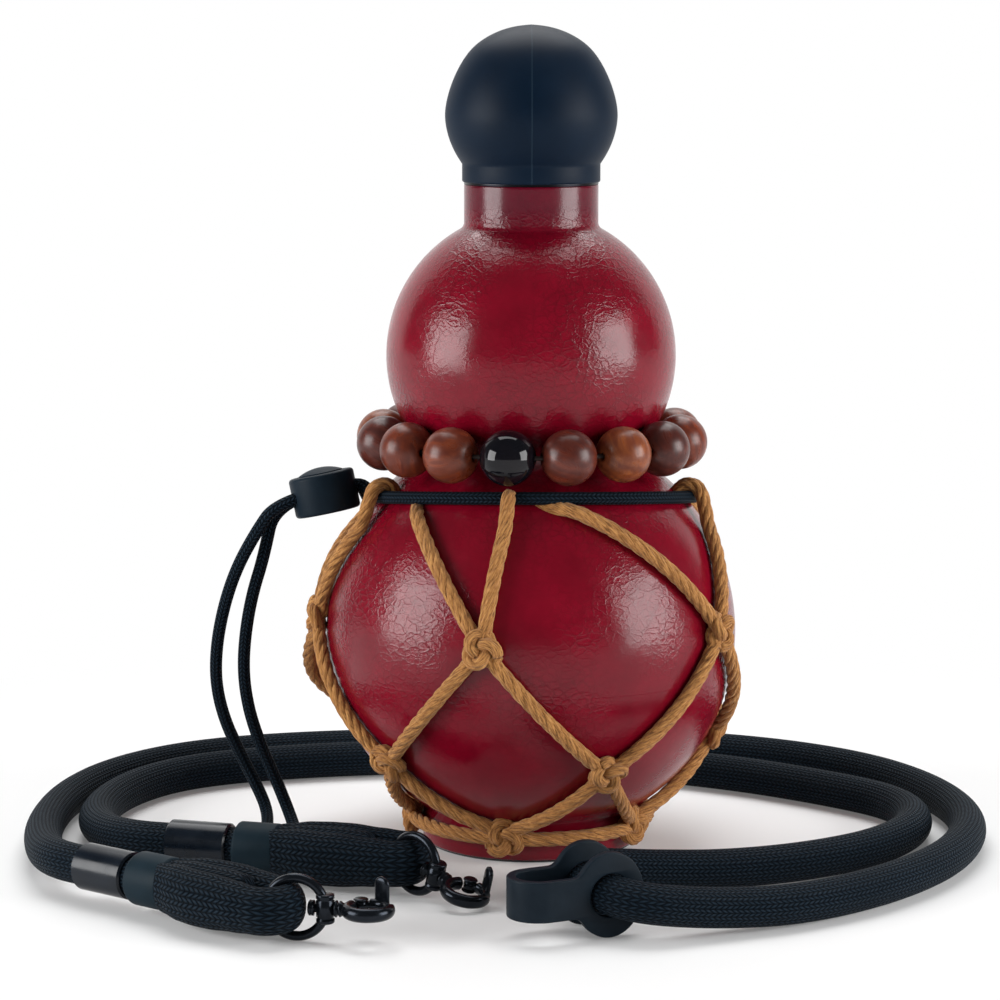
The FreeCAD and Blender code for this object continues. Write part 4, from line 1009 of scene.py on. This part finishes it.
def make_bracelet(mats):
    spin = random.Random(7)
    for index in range(BEAD_COUNT):
        out = bearing(BLACK_BEAD_AZIMUTH + index * 360.0 / BEAD_COUNT)
        centre = out * BEAD_RING + UP * BEAD_RING_Z
        along = UP.cross(out).normalized()
        turn = Quaternion(along, spin.uniform(0, TURN)) @ along.to_track_quat("Z", "Y")
        place = Matrix.Translation(centre * MM) @ turn.to_matrix().to_4x4()
        shell = bead_shell()
        if index == 0:
            shell.make("bead_black", mats["black_bead"], "bracelet", "black_gloss", ("black_bead",), place)
            continue
        wood = mats["woods"][index % len(mats["woods"])]
        shell.make("bead_%02d" % index, wood, "bracelet", "bead_wood", ("wood_bead_%02d" % index,), place)
    ring = [bearing(step * 2.5) * BEAD_RING + UP * BEAD_RING_Z for step in range(144)]
    shell = Shell()
    shell.tube(ring, circle(ELASTIC_RADIUS, 8), 4.0, closed=True)
    shell.make("bead_elastic", mats["elastic"], "bracelet", "elastic", ("bracelet_cord",))


# Net

def on_ball(direction, stand):
    return BALL_CENTRE + direction * (LOWER_RADIUS + stand)


def from_ball(point):
    return (point - BALL_CENTRE).normalized()


def knot_direction(row, column):
    azimuth = NET_FIRST_AZIMUTH + NET_STEP * (column + row / 2)
    rise = ROW_HEIGHT_SHARES[row]
    return bearing(azimuth) * math.sqrt(1 - rise ** 2) + UP * rise


def ring_point(azimuth):
    return bearing(azimuth) * BASE_RING_RADIUS + UP * BASE_RING_Z


def over_ball(first, last, stand, slack=0.0):
    """Great-circle path between two directions; slack lifts its middle off the ball."""
    turn = first.angle(last)
    axis = first.cross(last).normalized()
    path = []
    for step in range(NET_PATH_STEPS + 1):
        lift = slack * math.sin(math.pi * step / NET_PATH_STEPS) ** 2
        path.append(on_ball(Quaternion(axis, turn * step / NET_PATH_STEPS) @ first, stand + lift))
    return path


def on_draw_plane(direction):
    return (direction - DRAW_NORMAL * direction.dot(DRAW_NORMAL)).normalized()


def drawcord_point(azimuth):
    return DRAW_CENTRE + on_draw_plane(bearing(azimuth)) * DRAW_RADIUS


def leg_over(knot, azimuth):
    """Leg from a knot up to the drawcord, over it and tucked in behind."""
    foot = drawcord_point(azimuth)
    outward = from_ball(foot)
    along = DRAW_NORMAL.cross(outward).normalized()
    rising = outward.cross(along)
    reach = (DRAWCORD + NET_CORD) / 2 + NET_GAP
    below = foot - rising * (2 * reach) + outward * (reach / 2)
    path = over_ball(knot, from_ball(below), NET_CORD / 2 + NET_GAP)[:-2]
    for degrees, share in (FRONT_TUCK if abs(azimuth) < FRONT_TUCK_WITHIN else FULL_HOOK):
        angle = math.radians(degrees)
        path.append(foot + (outward * math.cos(angle) + rising * math.sin(angle)) * (reach * share))
    return smoothed(resampled(path, NET_DRAFT), 4)


def leg_under(knot, azimuth):
    """Leg from a knot up to the drawcord that goes in beneath it."""
    target = from_ball(drawcord_point(azimuth))
    path = over_ball(knot, target, NET_CORD / 2 + NET_GAP)
    for index, depth in enumerate(UNDER_SINK, -len(UNDER_SINK)):
        path[index] = path[index] - target * depth
    return smoothed(resampled(path, NET_DRAFT), 4)


def twist_cord(shell, path, radius, phase):
    """Loosely twisted plies along a path."""
    path = resampled(path, 1.0)
    frames = frames_along(path, False)
    ply = radius * 0.5
    orbit = radius - ply
    length = 0.0
    strands = [[] for _ in range(NET_PLIES)]
    for index, point in enumerate(path):
        if index:
            length += (point - path[index - 1]).length
        side, rise = frames[index]
        for number, strand in enumerate(strands):
            angle = phase + TURN * (length / NET_LAY + number / NET_PLIES)
            strand.append(point + side * (orbit * math.cos(angle)) + rise * (orbit * math.sin(angle)))
    for strand in strands:
        shell.tube(strand, circle(ply, 7), 3.0)


def knot_path(centre, direction, turn):
    """A tight three-lobed knot lying flat on the ball."""
    side = UP.cross(direction).normalized()
    rise = direction.cross(side)
    points = []
    for step in range(97):
        angle = 4 * math.pi * step / 96
        lobe = KNOT_REACH + KNOT_LOBE * math.cos(1.5 * angle)
        flat = KNOT_RISE * math.sin(1.5 * angle)
        spun = angle + turn
        spot = centre + side * (lobe * math.cos(spun)) + rise * (lobe * math.sin(spun))
        points.append(spot + direction * flat)
    return points


def make_net(mats):
    spin = random.Random(11)
    shell = Shell()
    radius = NET_CORD / 2
    columns = [NET_FIRST_AZIMUTH + NET_STEP * column for column in range(NET_COLUMNS + 1)]
    for column, (first, second) in enumerate(TOP_LEGS):
        over = leg_over(knot_direction(0, column), first)
        under = leg_under(knot_direction(0, column + 1), second)
        for path in (over, under):
            twist_cord(shell, path, radius, spin.uniform(0, 6))
    for column in range(NET_COLUMNS):
        low = knot_direction(1, column)
        for high, slack in ((knot_direction(0, column), 0.0), (knot_direction(0, column + 1), SLACK[column])):
            twist_cord(shell, over_ball(high, low, NET_STAND, slack), radius, spin.uniform(0, 6))
        for base in (ring_point(columns[column]), ring_point(columns[column + 1])):
            path = over_ball(low, from_ball(base), NET_STAND)
            path = path[:-3] + [path[-3].lerp(base, 0.5), base]
            twist_cord(shell, smoothed(resampled(path, NET_DRAFT), 3), radius, spin.uniform(0, 6))
        ring = [ring_point(columns[column] + NET_STEP * step / 16) for step in range(17)]
        twist_cord(shell, ring, radius, spin.uniform(0, 6))
    knots = [knot_direction(row, column) for row in (0, 1) for column in range(NET_COLUMNS)]
    places = [(on_ball(direction, KNOT_STAND), direction) for direction in knots]
    places += [(ring_point(azimuth), bearing(azimuth)) for azimuth in columns[:-1]]
    for centre, direction in places:
        path = knot_path(centre, direction, spin.uniform(0, 6))
        twist_cord(shell, path, radius * KNOT_CORD_SHARE, spin.uniform(0, 6))
    shell.make("cotton_net", mats["net"], "bottle", "brown_cord", ("cord_net",))


# Drawcord, lock and tail

def lock_frame():
    """Middle of the lock, its direction away from the bottle and its axis."""
    out = on_draw_plane(bearing(-90 + LOCK_AZIMUTH))
    dip = Quaternion(DRAW_NORMAL.cross(out), LOCK_PITCH)
    along = dip @ out
    up = dip @ DRAW_NORMAL
    middle = DRAW_CENTRE + out * (DRAW_RADIUS + LOCK_STAND) + along * (LOCK_DIAMETER / 2) - up * CORD_RAISE
    return middle + up * LOCK_LIFT, along, up


def make_lock(mats):
    middle, along, up = lock_frame()
    turn = Matrix((along, up.cross(along), up)).transposed()
    radius = LOCK_DIAMETER / 2
    half = LOCK_HEIGHT / 2
    profile = round_body(radius, -half, half, LOCK_EDGE, 6, [(radius, 0.0)])[:-1]
    profile += [(WELL_RADIUS + WELL_EDGE, half), (WELL_RADIUS, half - WELL_EDGE)]
    profile += [(WELL_RADIUS, half - WELL_DEPTH), (0.0, half - WELL_DEPTH)]
    shell = Shell()
    shell.lathe(profile, 96, middle, turn)
    shell.make("lock_case", mats["lock"], "bottle", "lock_plastic", ("lock_body",))
    ball = (BUTTON_RADIUS ** 2 + BUTTON_DOME ** 2) / (2 * BUTTON_DOME)
    rim = math.degrees(math.acos(BUTTON_RADIUS / ball))
    profile = [(0.0, half - BUTTON_FOOT), (BUTTON_RADIUS, half - BUTTON_FOOT)]
    profile += arc((0, half + BUTTON_STAND - ball), ball, rim, 89, 16) + [(0.0, half + BUTTON_STAND)]
    shell = Shell()
    shell.lathe(profile, 96, middle, turn)
    shell.make("lock_plunger", mats["lock"], "button", "lock_plastic", ("lock_button",))
    coil = []
    for step in range(COIL_STEPS + 1):
        angle = COIL_TURNS * TURN * step / COIL_STEPS
        rise = -half + COIL_FOOT + COIL_LENGTH * step / COIL_STEPS
        local = Vector((COIL_RADIUS * math.cos(angle), COIL_RADIUS * math.sin(angle), rise))
        coil.append(middle + turn @ local)
    shell = Shell()
    shell.tube(coil, circle(COIL_WIRE, 8), 1.0)
    shell.make("lock_coil", mats["steel"], "bottle", "steel", ("lock_spring",))


def strand_lanes():
    """Where the cord's two strands cross the middle of the lock."""
    middle, along, up = lock_frame()
    side = up.cross(along)
    return [middle + up * CORD_RAISE + side * (sign * STRAND_SPACING / 2) for sign in (1, -1)]


def drawcord_path(lanes, along):
    """From the middle of the lock round the net's top and back into the lock."""
    out = on_draw_plane(along)
    spin = math.asin((STRAND_SPACING / 2 + DRAW_OPENING) / DRAW_RADIUS)
    lead = along * (LOCK_DIAMETER / 2 + LOCK_LEAD)
    points = [lanes[0], lanes[0] - lead]
    steps = 120
    for step in range(steps + 1):
        angle = spin + (TURN - 2 * spin) * step / steps
        points.append(DRAW_CENTRE + Quaternion(DRAW_NORMAL, angle) @ out * DRAW_RADIUS)
    points += [lanes[1] - lead, lanes[1]]
    return smoothed(resampled(points, CORD_STEP), 6)


def make_drawcord(mats):
    along = lock_frame()[1]
    lanes = strand_lanes()
    section = circle(DRAWCORD / 2, CORD_SIDES)
    shell = Shell()
    shell.tube(drawcord_path(lanes, along), section, DRAWCORD)
    shell.make("net_drawcord", mats["cord"], "bottle", "black_cord", ("waist_drawcord",))
    leads = [lane + along * (LOCK_DIAMETER / 2 + TAIL_LEAD) for lane in lanes]
    route = [lanes[0], leads[0]] + [Vector(point) for point in TAIL_ROUTE] + [leads[1], lanes[1]]
    path = resampled(spline_points("tail_line", route), CORD_STEP)
    shell = Shell()
    shell.tube(path, section, DRAWCORD)
    tail = shell.make("cord_tail", mats["cord"], "bottle", "black_cord", ("drawcord_tail",))


# Strap

def eye_share(along):
    """Width and height shares of the eye at a share of its leg, from the sleeve to the fold."""
    for (first, wide0, high0), (last, wide1, high1) in zip(EYE_SHARES, EYE_SHARES[1:]):
        if along <= last:
            step = (along - first) / (last - first)
            step = step * step * (3 - 2 * step)
            return wide0 + (wide1 - wide0) * step, high0 + (high1 - high0) * step
    return EYE_SHARES[-1][1:]


def eye_rings(matrix):
    """Rings of the folded eye: out along one leg, round the fold and back."""
    stations = [(-EYE_LEG + step, 90.0) for step in range(int(EYE_LEG))]
    stations += [(0.0, 90.0 - 4.5 * step) for step in range(41)]
    stations += [(-1.0 - step, -90.0) for step in range(int(EYE_LEG))]
    rings = []
    for x, degrees in stations:
        wide, high = eye_share(1 + x / EYE_LEG)
        half = EYE_WIDTH * wide / 2
        reach = EYE_SPREAD - EYE_LEAN * (1 - min(1.0, (1 + x / EYE_LEG) * EYE_LEAN_RATE))
        out = heading(degrees)
        centre = Vector((x, 0, 0)) + out * reach
        ring = []
        for across, up in circle(1.0, 44):
            ring.append(matrix @ (centre + out * (half * across) + UP * (EYE_HEIGHT * high / 2 * up)))
        rings.append(ring)
    return rings


def core_rings(matrix):
    """Rings that fill the crease between the eye's two legs."""
    rings = []
    for step in range(31):
        x = -EYE_LEG + 1.0 + step
        wide, high = eye_share(1 + x / EYE_LEG)
        close = min(1.0, (CORE_END - step) / CORE_TAPER)
        half_wide = CORE_HALF_WIDTH * wide * close ** 0.5
        half_high = CORE_HALF_HEIGHT * high * close ** 0.5
        rings.append([matrix @ Vector((x, half_wide * side, half_high * up)) for side, up in circle(1.0, 36)])
    return rings


def end_matrix(hinge, degrees):
    along = heading(degrees)
    turn = Matrix((along, UP.cross(along), UP)).transposed()
    return Matrix.Translation(hinge) @ turn.to_4x4()


def across_x(matrix):
    """Turn that lays a lathe's axis along the X axis of a matrix."""
    turn = matrix.to_3x3()
    return turn @ Matrix(((0, 0, 1), (1, 0, 0), (0, 1, 0)))


def make_sleeve(mats, side, matrix):
    middle = [(SLEEVE_RADIUS, (SLEEVE_BACK + SLEEVE_FRONT) / 2)]
    profile = round_body(SLEEVE_RADIUS, SLEEVE_BACK, SLEEVE_FRONT, SLEEVE_EDGE, 5, middle)
    shell = Shell()
    shell.lathe(profile, 64, matrix.to_translation(), across_x(matrix))
    return shell.make("crimp_" + side, mats["sleeve"], "bottle", "dark_sleeve", ("sleeve_" + side,))


def ring_arc(matrix, start, end, wide, high, count, round_ends, slant=0.0):
    """Rings of a bent bar on the claw's middle circle, between two angles in degrees.

    The far end is cut slanting, by so many degrees for each millimetre off the middle circle.
    """
    rings = []
    for step in range(count + 1):
        share = step / count
        angle = math.radians(start + (end - start) * share)
        near_end = min(share, 1 - share) * count / round_ends
        size = math.sqrt(max(0.05, 1 - max(0.0, 1 - near_end) ** 2))
        lean = math.radians(slant) * max(0.0, (share - 0.6) / 0.4)
        ring = []
        for across, up in circle(1.0, 20):
            off = size * wide * across
            reach = CLAW_MID + off
            spun = angle + lean * off
            place = (CLAW_CENTRE + reach * math.cos(spun), reach * math.sin(spun), size * high * up)
            ring.append(matrix @ Vector(place))
        rings.append(ring)
    return rings


def tab_rings(matrix):
    """Rings of the thumb lug that stands on the gate."""
    out = heading(TAB_ANGLE)
    around = UP.cross(out)
    foot = Vector((CLAW_CENTRE, 0, 0)) + out * (CLAW_MID + 0.1)
    count = 14
    rings = []
    for step in range(count + 1):
        share = step / count
        size = math.sqrt(max(0.04, 1 - max(0.0, (share - 0.7) / 0.3) ** 2))
        rise = UP * (TAB_LOW + (TAB_HIGH - TAB_LOW) * share)
        ring = []
        for wide, thick in circle(1.0, 24):
            across = math.copysign(abs(wide) ** 0.6, wide) * TAB_HALF_WIDTH * size
            deep = math.copysign(abs(thick) ** 0.8, thick) * TAB_HALF_DEPTH * size ** 0.5
            ring.append(matrix @ (foot + around * across + out * deep + rise))
        rings.append(ring)
    return rings


def bow_shell(matrix, turn):
    """Round bow with the barrel that its claw turns in."""
    bow = Shell()
    ring = [matrix @ Vector((x, 0, z)) for x, z in circle(BOW_RADIUS, 72)]
    bow.tube(ring, circle(BOW_WIRE, 18), CLASP_GRAIN, closed=True)
    groove = [(BARREL_RADIUS - depth, height) for depth, height in BARREL_GROOVE]
    grooves = [(radius, -height) for radius, height in groove] + groove[::-1]
    profile = round_body(BARREL_RADIUS, -BARREL_HALF, BARREL_HALF, BARREL_EDGE, 4, grooves)
    bow.lathe(profile, 36, matrix @ Vector((BOW_RADIUS, 0, 0)), turn)
    return bow


def make_clasp(mats, side):
    middle, swivel, up = BOW_ENDS[side]
    turn = Matrix((swivel, up.cross(swivel), up)).transposed()
    matrix = Matrix.Translation(middle) @ turn.to_4x4()
    pivot = math.radians(GATE_PIVOT)
    hub = matrix @ Vector((CLAW_CENTRE + CLAW_MID * math.cos(pivot), CLAW_MID * math.sin(pivot), 0))
    bow = bow_shell(matrix, turn)
    claw = Shell()
    claw.lathe(CLAW_STEM, 36, middle, across_x(matrix))
    claw.loft(ring_arc(matrix, *CLAW_ARC, 60, 3.0, GATE_SLANT), CLASP_GRAIN)
    for low, high in HUB_CHEEKS:
        claw.lathe(disc(CHEEK_RADIUS, low, high), 28, hub, turn)
    gate = Shell()
    gate.loft(ring_arc(matrix, *GATE_ARC, 30, 2.0, GATE_SLANT), CLASP_GRAIN)
    gate.loft(ring_arc(matrix, *GATE_ROOT, 10, 1.0), CLASP_GRAIN)
    gate.lathe(disc(GATE_HUB_RADIUS, -GATE_HUB_HALF, GATE_HUB_HALF), 28, hub, turn)
    gate.loft(tab_rings(matrix), CLASP_GRAIN)
    pieces = []
    for shell, kind in ((bow, "bow"), (claw, "claw"), (gate, "gate")):
        name = kind + "_" + side
        pieces.append(shell.make(name, mats["clasp"], side + "_" + kind, "black_nickel", ("clasp_" + name,)))
    return pieces


def leaf_outline():
    """Half outline of the flat tag, round one disc, as (along, up) points."""
    rise = TAG_STRIP + TAG_FILLET
    reach = math.sqrt((TAG_DISC + TAG_FILLET) ** 2 - rise ** 2)
    start = math.degrees(math.atan2(rise, reach))
    points = arc((-reach, rise), TAG_FILLET, -90, -start, 8)
    points += arc((0, 0), TAG_DISC, 180 - start, start - 180, 72)[1:-1]
    points += arc((-reach, -rise), TAG_FILLET, start, 90, 8)
    return [(TAG_OVAL * along, up) for along, up in points]


def bent_tag(flat):
    """Where a point of the flat tag (along, up, off) comes to lie once it is bent."""
    quarter = math.pi * TAG_BEND / 2
    if abs(flat.x) <= quarter:
        angle = flat.x / TAG_BEND
        reach = TAG_BEND + flat.z
        return Vector((-TAG_LEAF - reach * math.cos(angle), -reach * math.sin(angle), flat.y))
    side = math.copysign(1.0, flat.x)
    return Vector((abs(flat.x) - quarter - TAG_LEAF, -side * (TAG_BEND + flat.z), flat.y))


def make_tag(mats):
    """A flat strip with a holed disc at each end, bent round into a U."""
    half_length = TAG_LEAF + math.pi * TAG_BEND / 2
    curve = bpy.data.curves.new("tag", "CURVE")
    curve.dimensions = "2D"
    curve.fill_mode = "BOTH"
    curve.extrude = TAG_HALF - TAG_EDGE
    curve.bevel_depth = TAG_EDGE
    curve.bevel_resolution = 2
    curve.offset = -TAG_EDGE
    right = [(along + half_length, up) for along, up in leaf_outline()]
    left = [(-along, -up) for along, up in right]
    loops = [right + left]
    for middle in (half_length, -half_length):
        loops.append([(middle + across, up) for across, up in arc((0, 0), TAG_HOLE, 0, 355, 71)])
    for loop in loops:
        spline = curve.splines.new("POLY")
        spline.points.add(len(loop) - 1)
        spline.use_cyclic_u = True
        for point, (along, up) in zip(spline.points, loop):
            point.co = (along, up, 0, 1)
    flat = curve_mesh(curve)
    build = bmesh.new()
    build.from_mesh(flat)
    bpy.data.meshes.remove(flat)
    for step in range(-TAG_BEND_STEPS // 2, TAG_BEND_STEPS // 2 + 1):
        everything = build.verts[:] + build.edges[:] + build.faces[:]
        spot = (step * math.pi * TAG_BEND / TAG_BEND_STEPS, 0, 0)
        bmesh.ops.bisect_plane(build, geom=everything, plane_co=spot, plane_no=(1, 0, 0))
    bmesh.ops.remove_doubles(build, verts=build.verts[:], dist=0.001)
    shell = Shell()
    matrix = end_matrix(TAG_PLACE, TAG_HEADING)
    for vertex in build.verts:
        shell.points.append(matrix @ bent_tag(vertex.co))
    for face in build.faces:
        shell.face(tuple(vertex.index for vertex in face.verts))
    build.free()
    return shell.make("tag_leather", mats["leather"], "bottle", "black_leather", ("strap_tag",))


def make_strap(mats):
    path = resampled(spline_points("strap_line", STRAP_ROUTE), ROPE_STEP)
    shell = Shell()
    shell.tube(path, circle(ROPE_DIAMETER / 2, 48), ROPE_DIAMETER)
    rope = shell.make("strap_line", mats["rope"], "bottle", "black_rope", ("strap_rope",))
    pieces = []
    for side, hinge, degrees in (("front", HINGE_FRONT, HEADING_FRONT), ("rear", HINGE_REAR, HEADING_REAR)):
        matrix = end_matrix(hinge, degrees)
        shell = Shell()
        shell.loft(eye_rings(matrix), EYE_BRAID)
        shell.loft(core_rings(matrix), EYE_BRAID)
        pieces.append(shell.make("eye_" + side, mats["eye"], "bottle", "black_rope", ("rope_eye_" + side,)))
        pieces.append(make_sleeve(mats, side, matrix))
        pieces += make_clasp(mats, side)
        pieces.append(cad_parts["ferrule_" + side])
        pieces.append(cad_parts["gate_pin_" + side])
    pieces.append(make_tag(mats))


def dress_nodes(mats):
    """Materials for the solids that show as they are."""
    finish = {
        "steel": ("inner_liner", "mouth_ring", "base_plate"),
        "rubber": ("foot_pad", "cap_seal"),
        "cap": ("cap_core",),
        "ferrule": ("ferrule_front", "ferrule_rear"),
        "clasp": ("gate_pin_front", "gate_pin_rear"),
    }
    for key, names in finish.items():
        for name in names:
            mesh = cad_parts[name].data
            mesh.materials.clear()
            mesh.materials.append(mats[key])


def main():
    bpy.context.scene.view_settings.view_transform = "Standard"
    make_camera()
    make_world()
    make_stage()
    for light in LIGHTS:
        area_light(*light)
    mats = make_materials()
    make_bottle(mats)
    make_cap(mats)
    make_bracelet(mats)
    make_net(mats)
    make_drawcord(mats)
    make_lock(mats)
    make_strap(mats)
    dress_nodes(mats)


main()
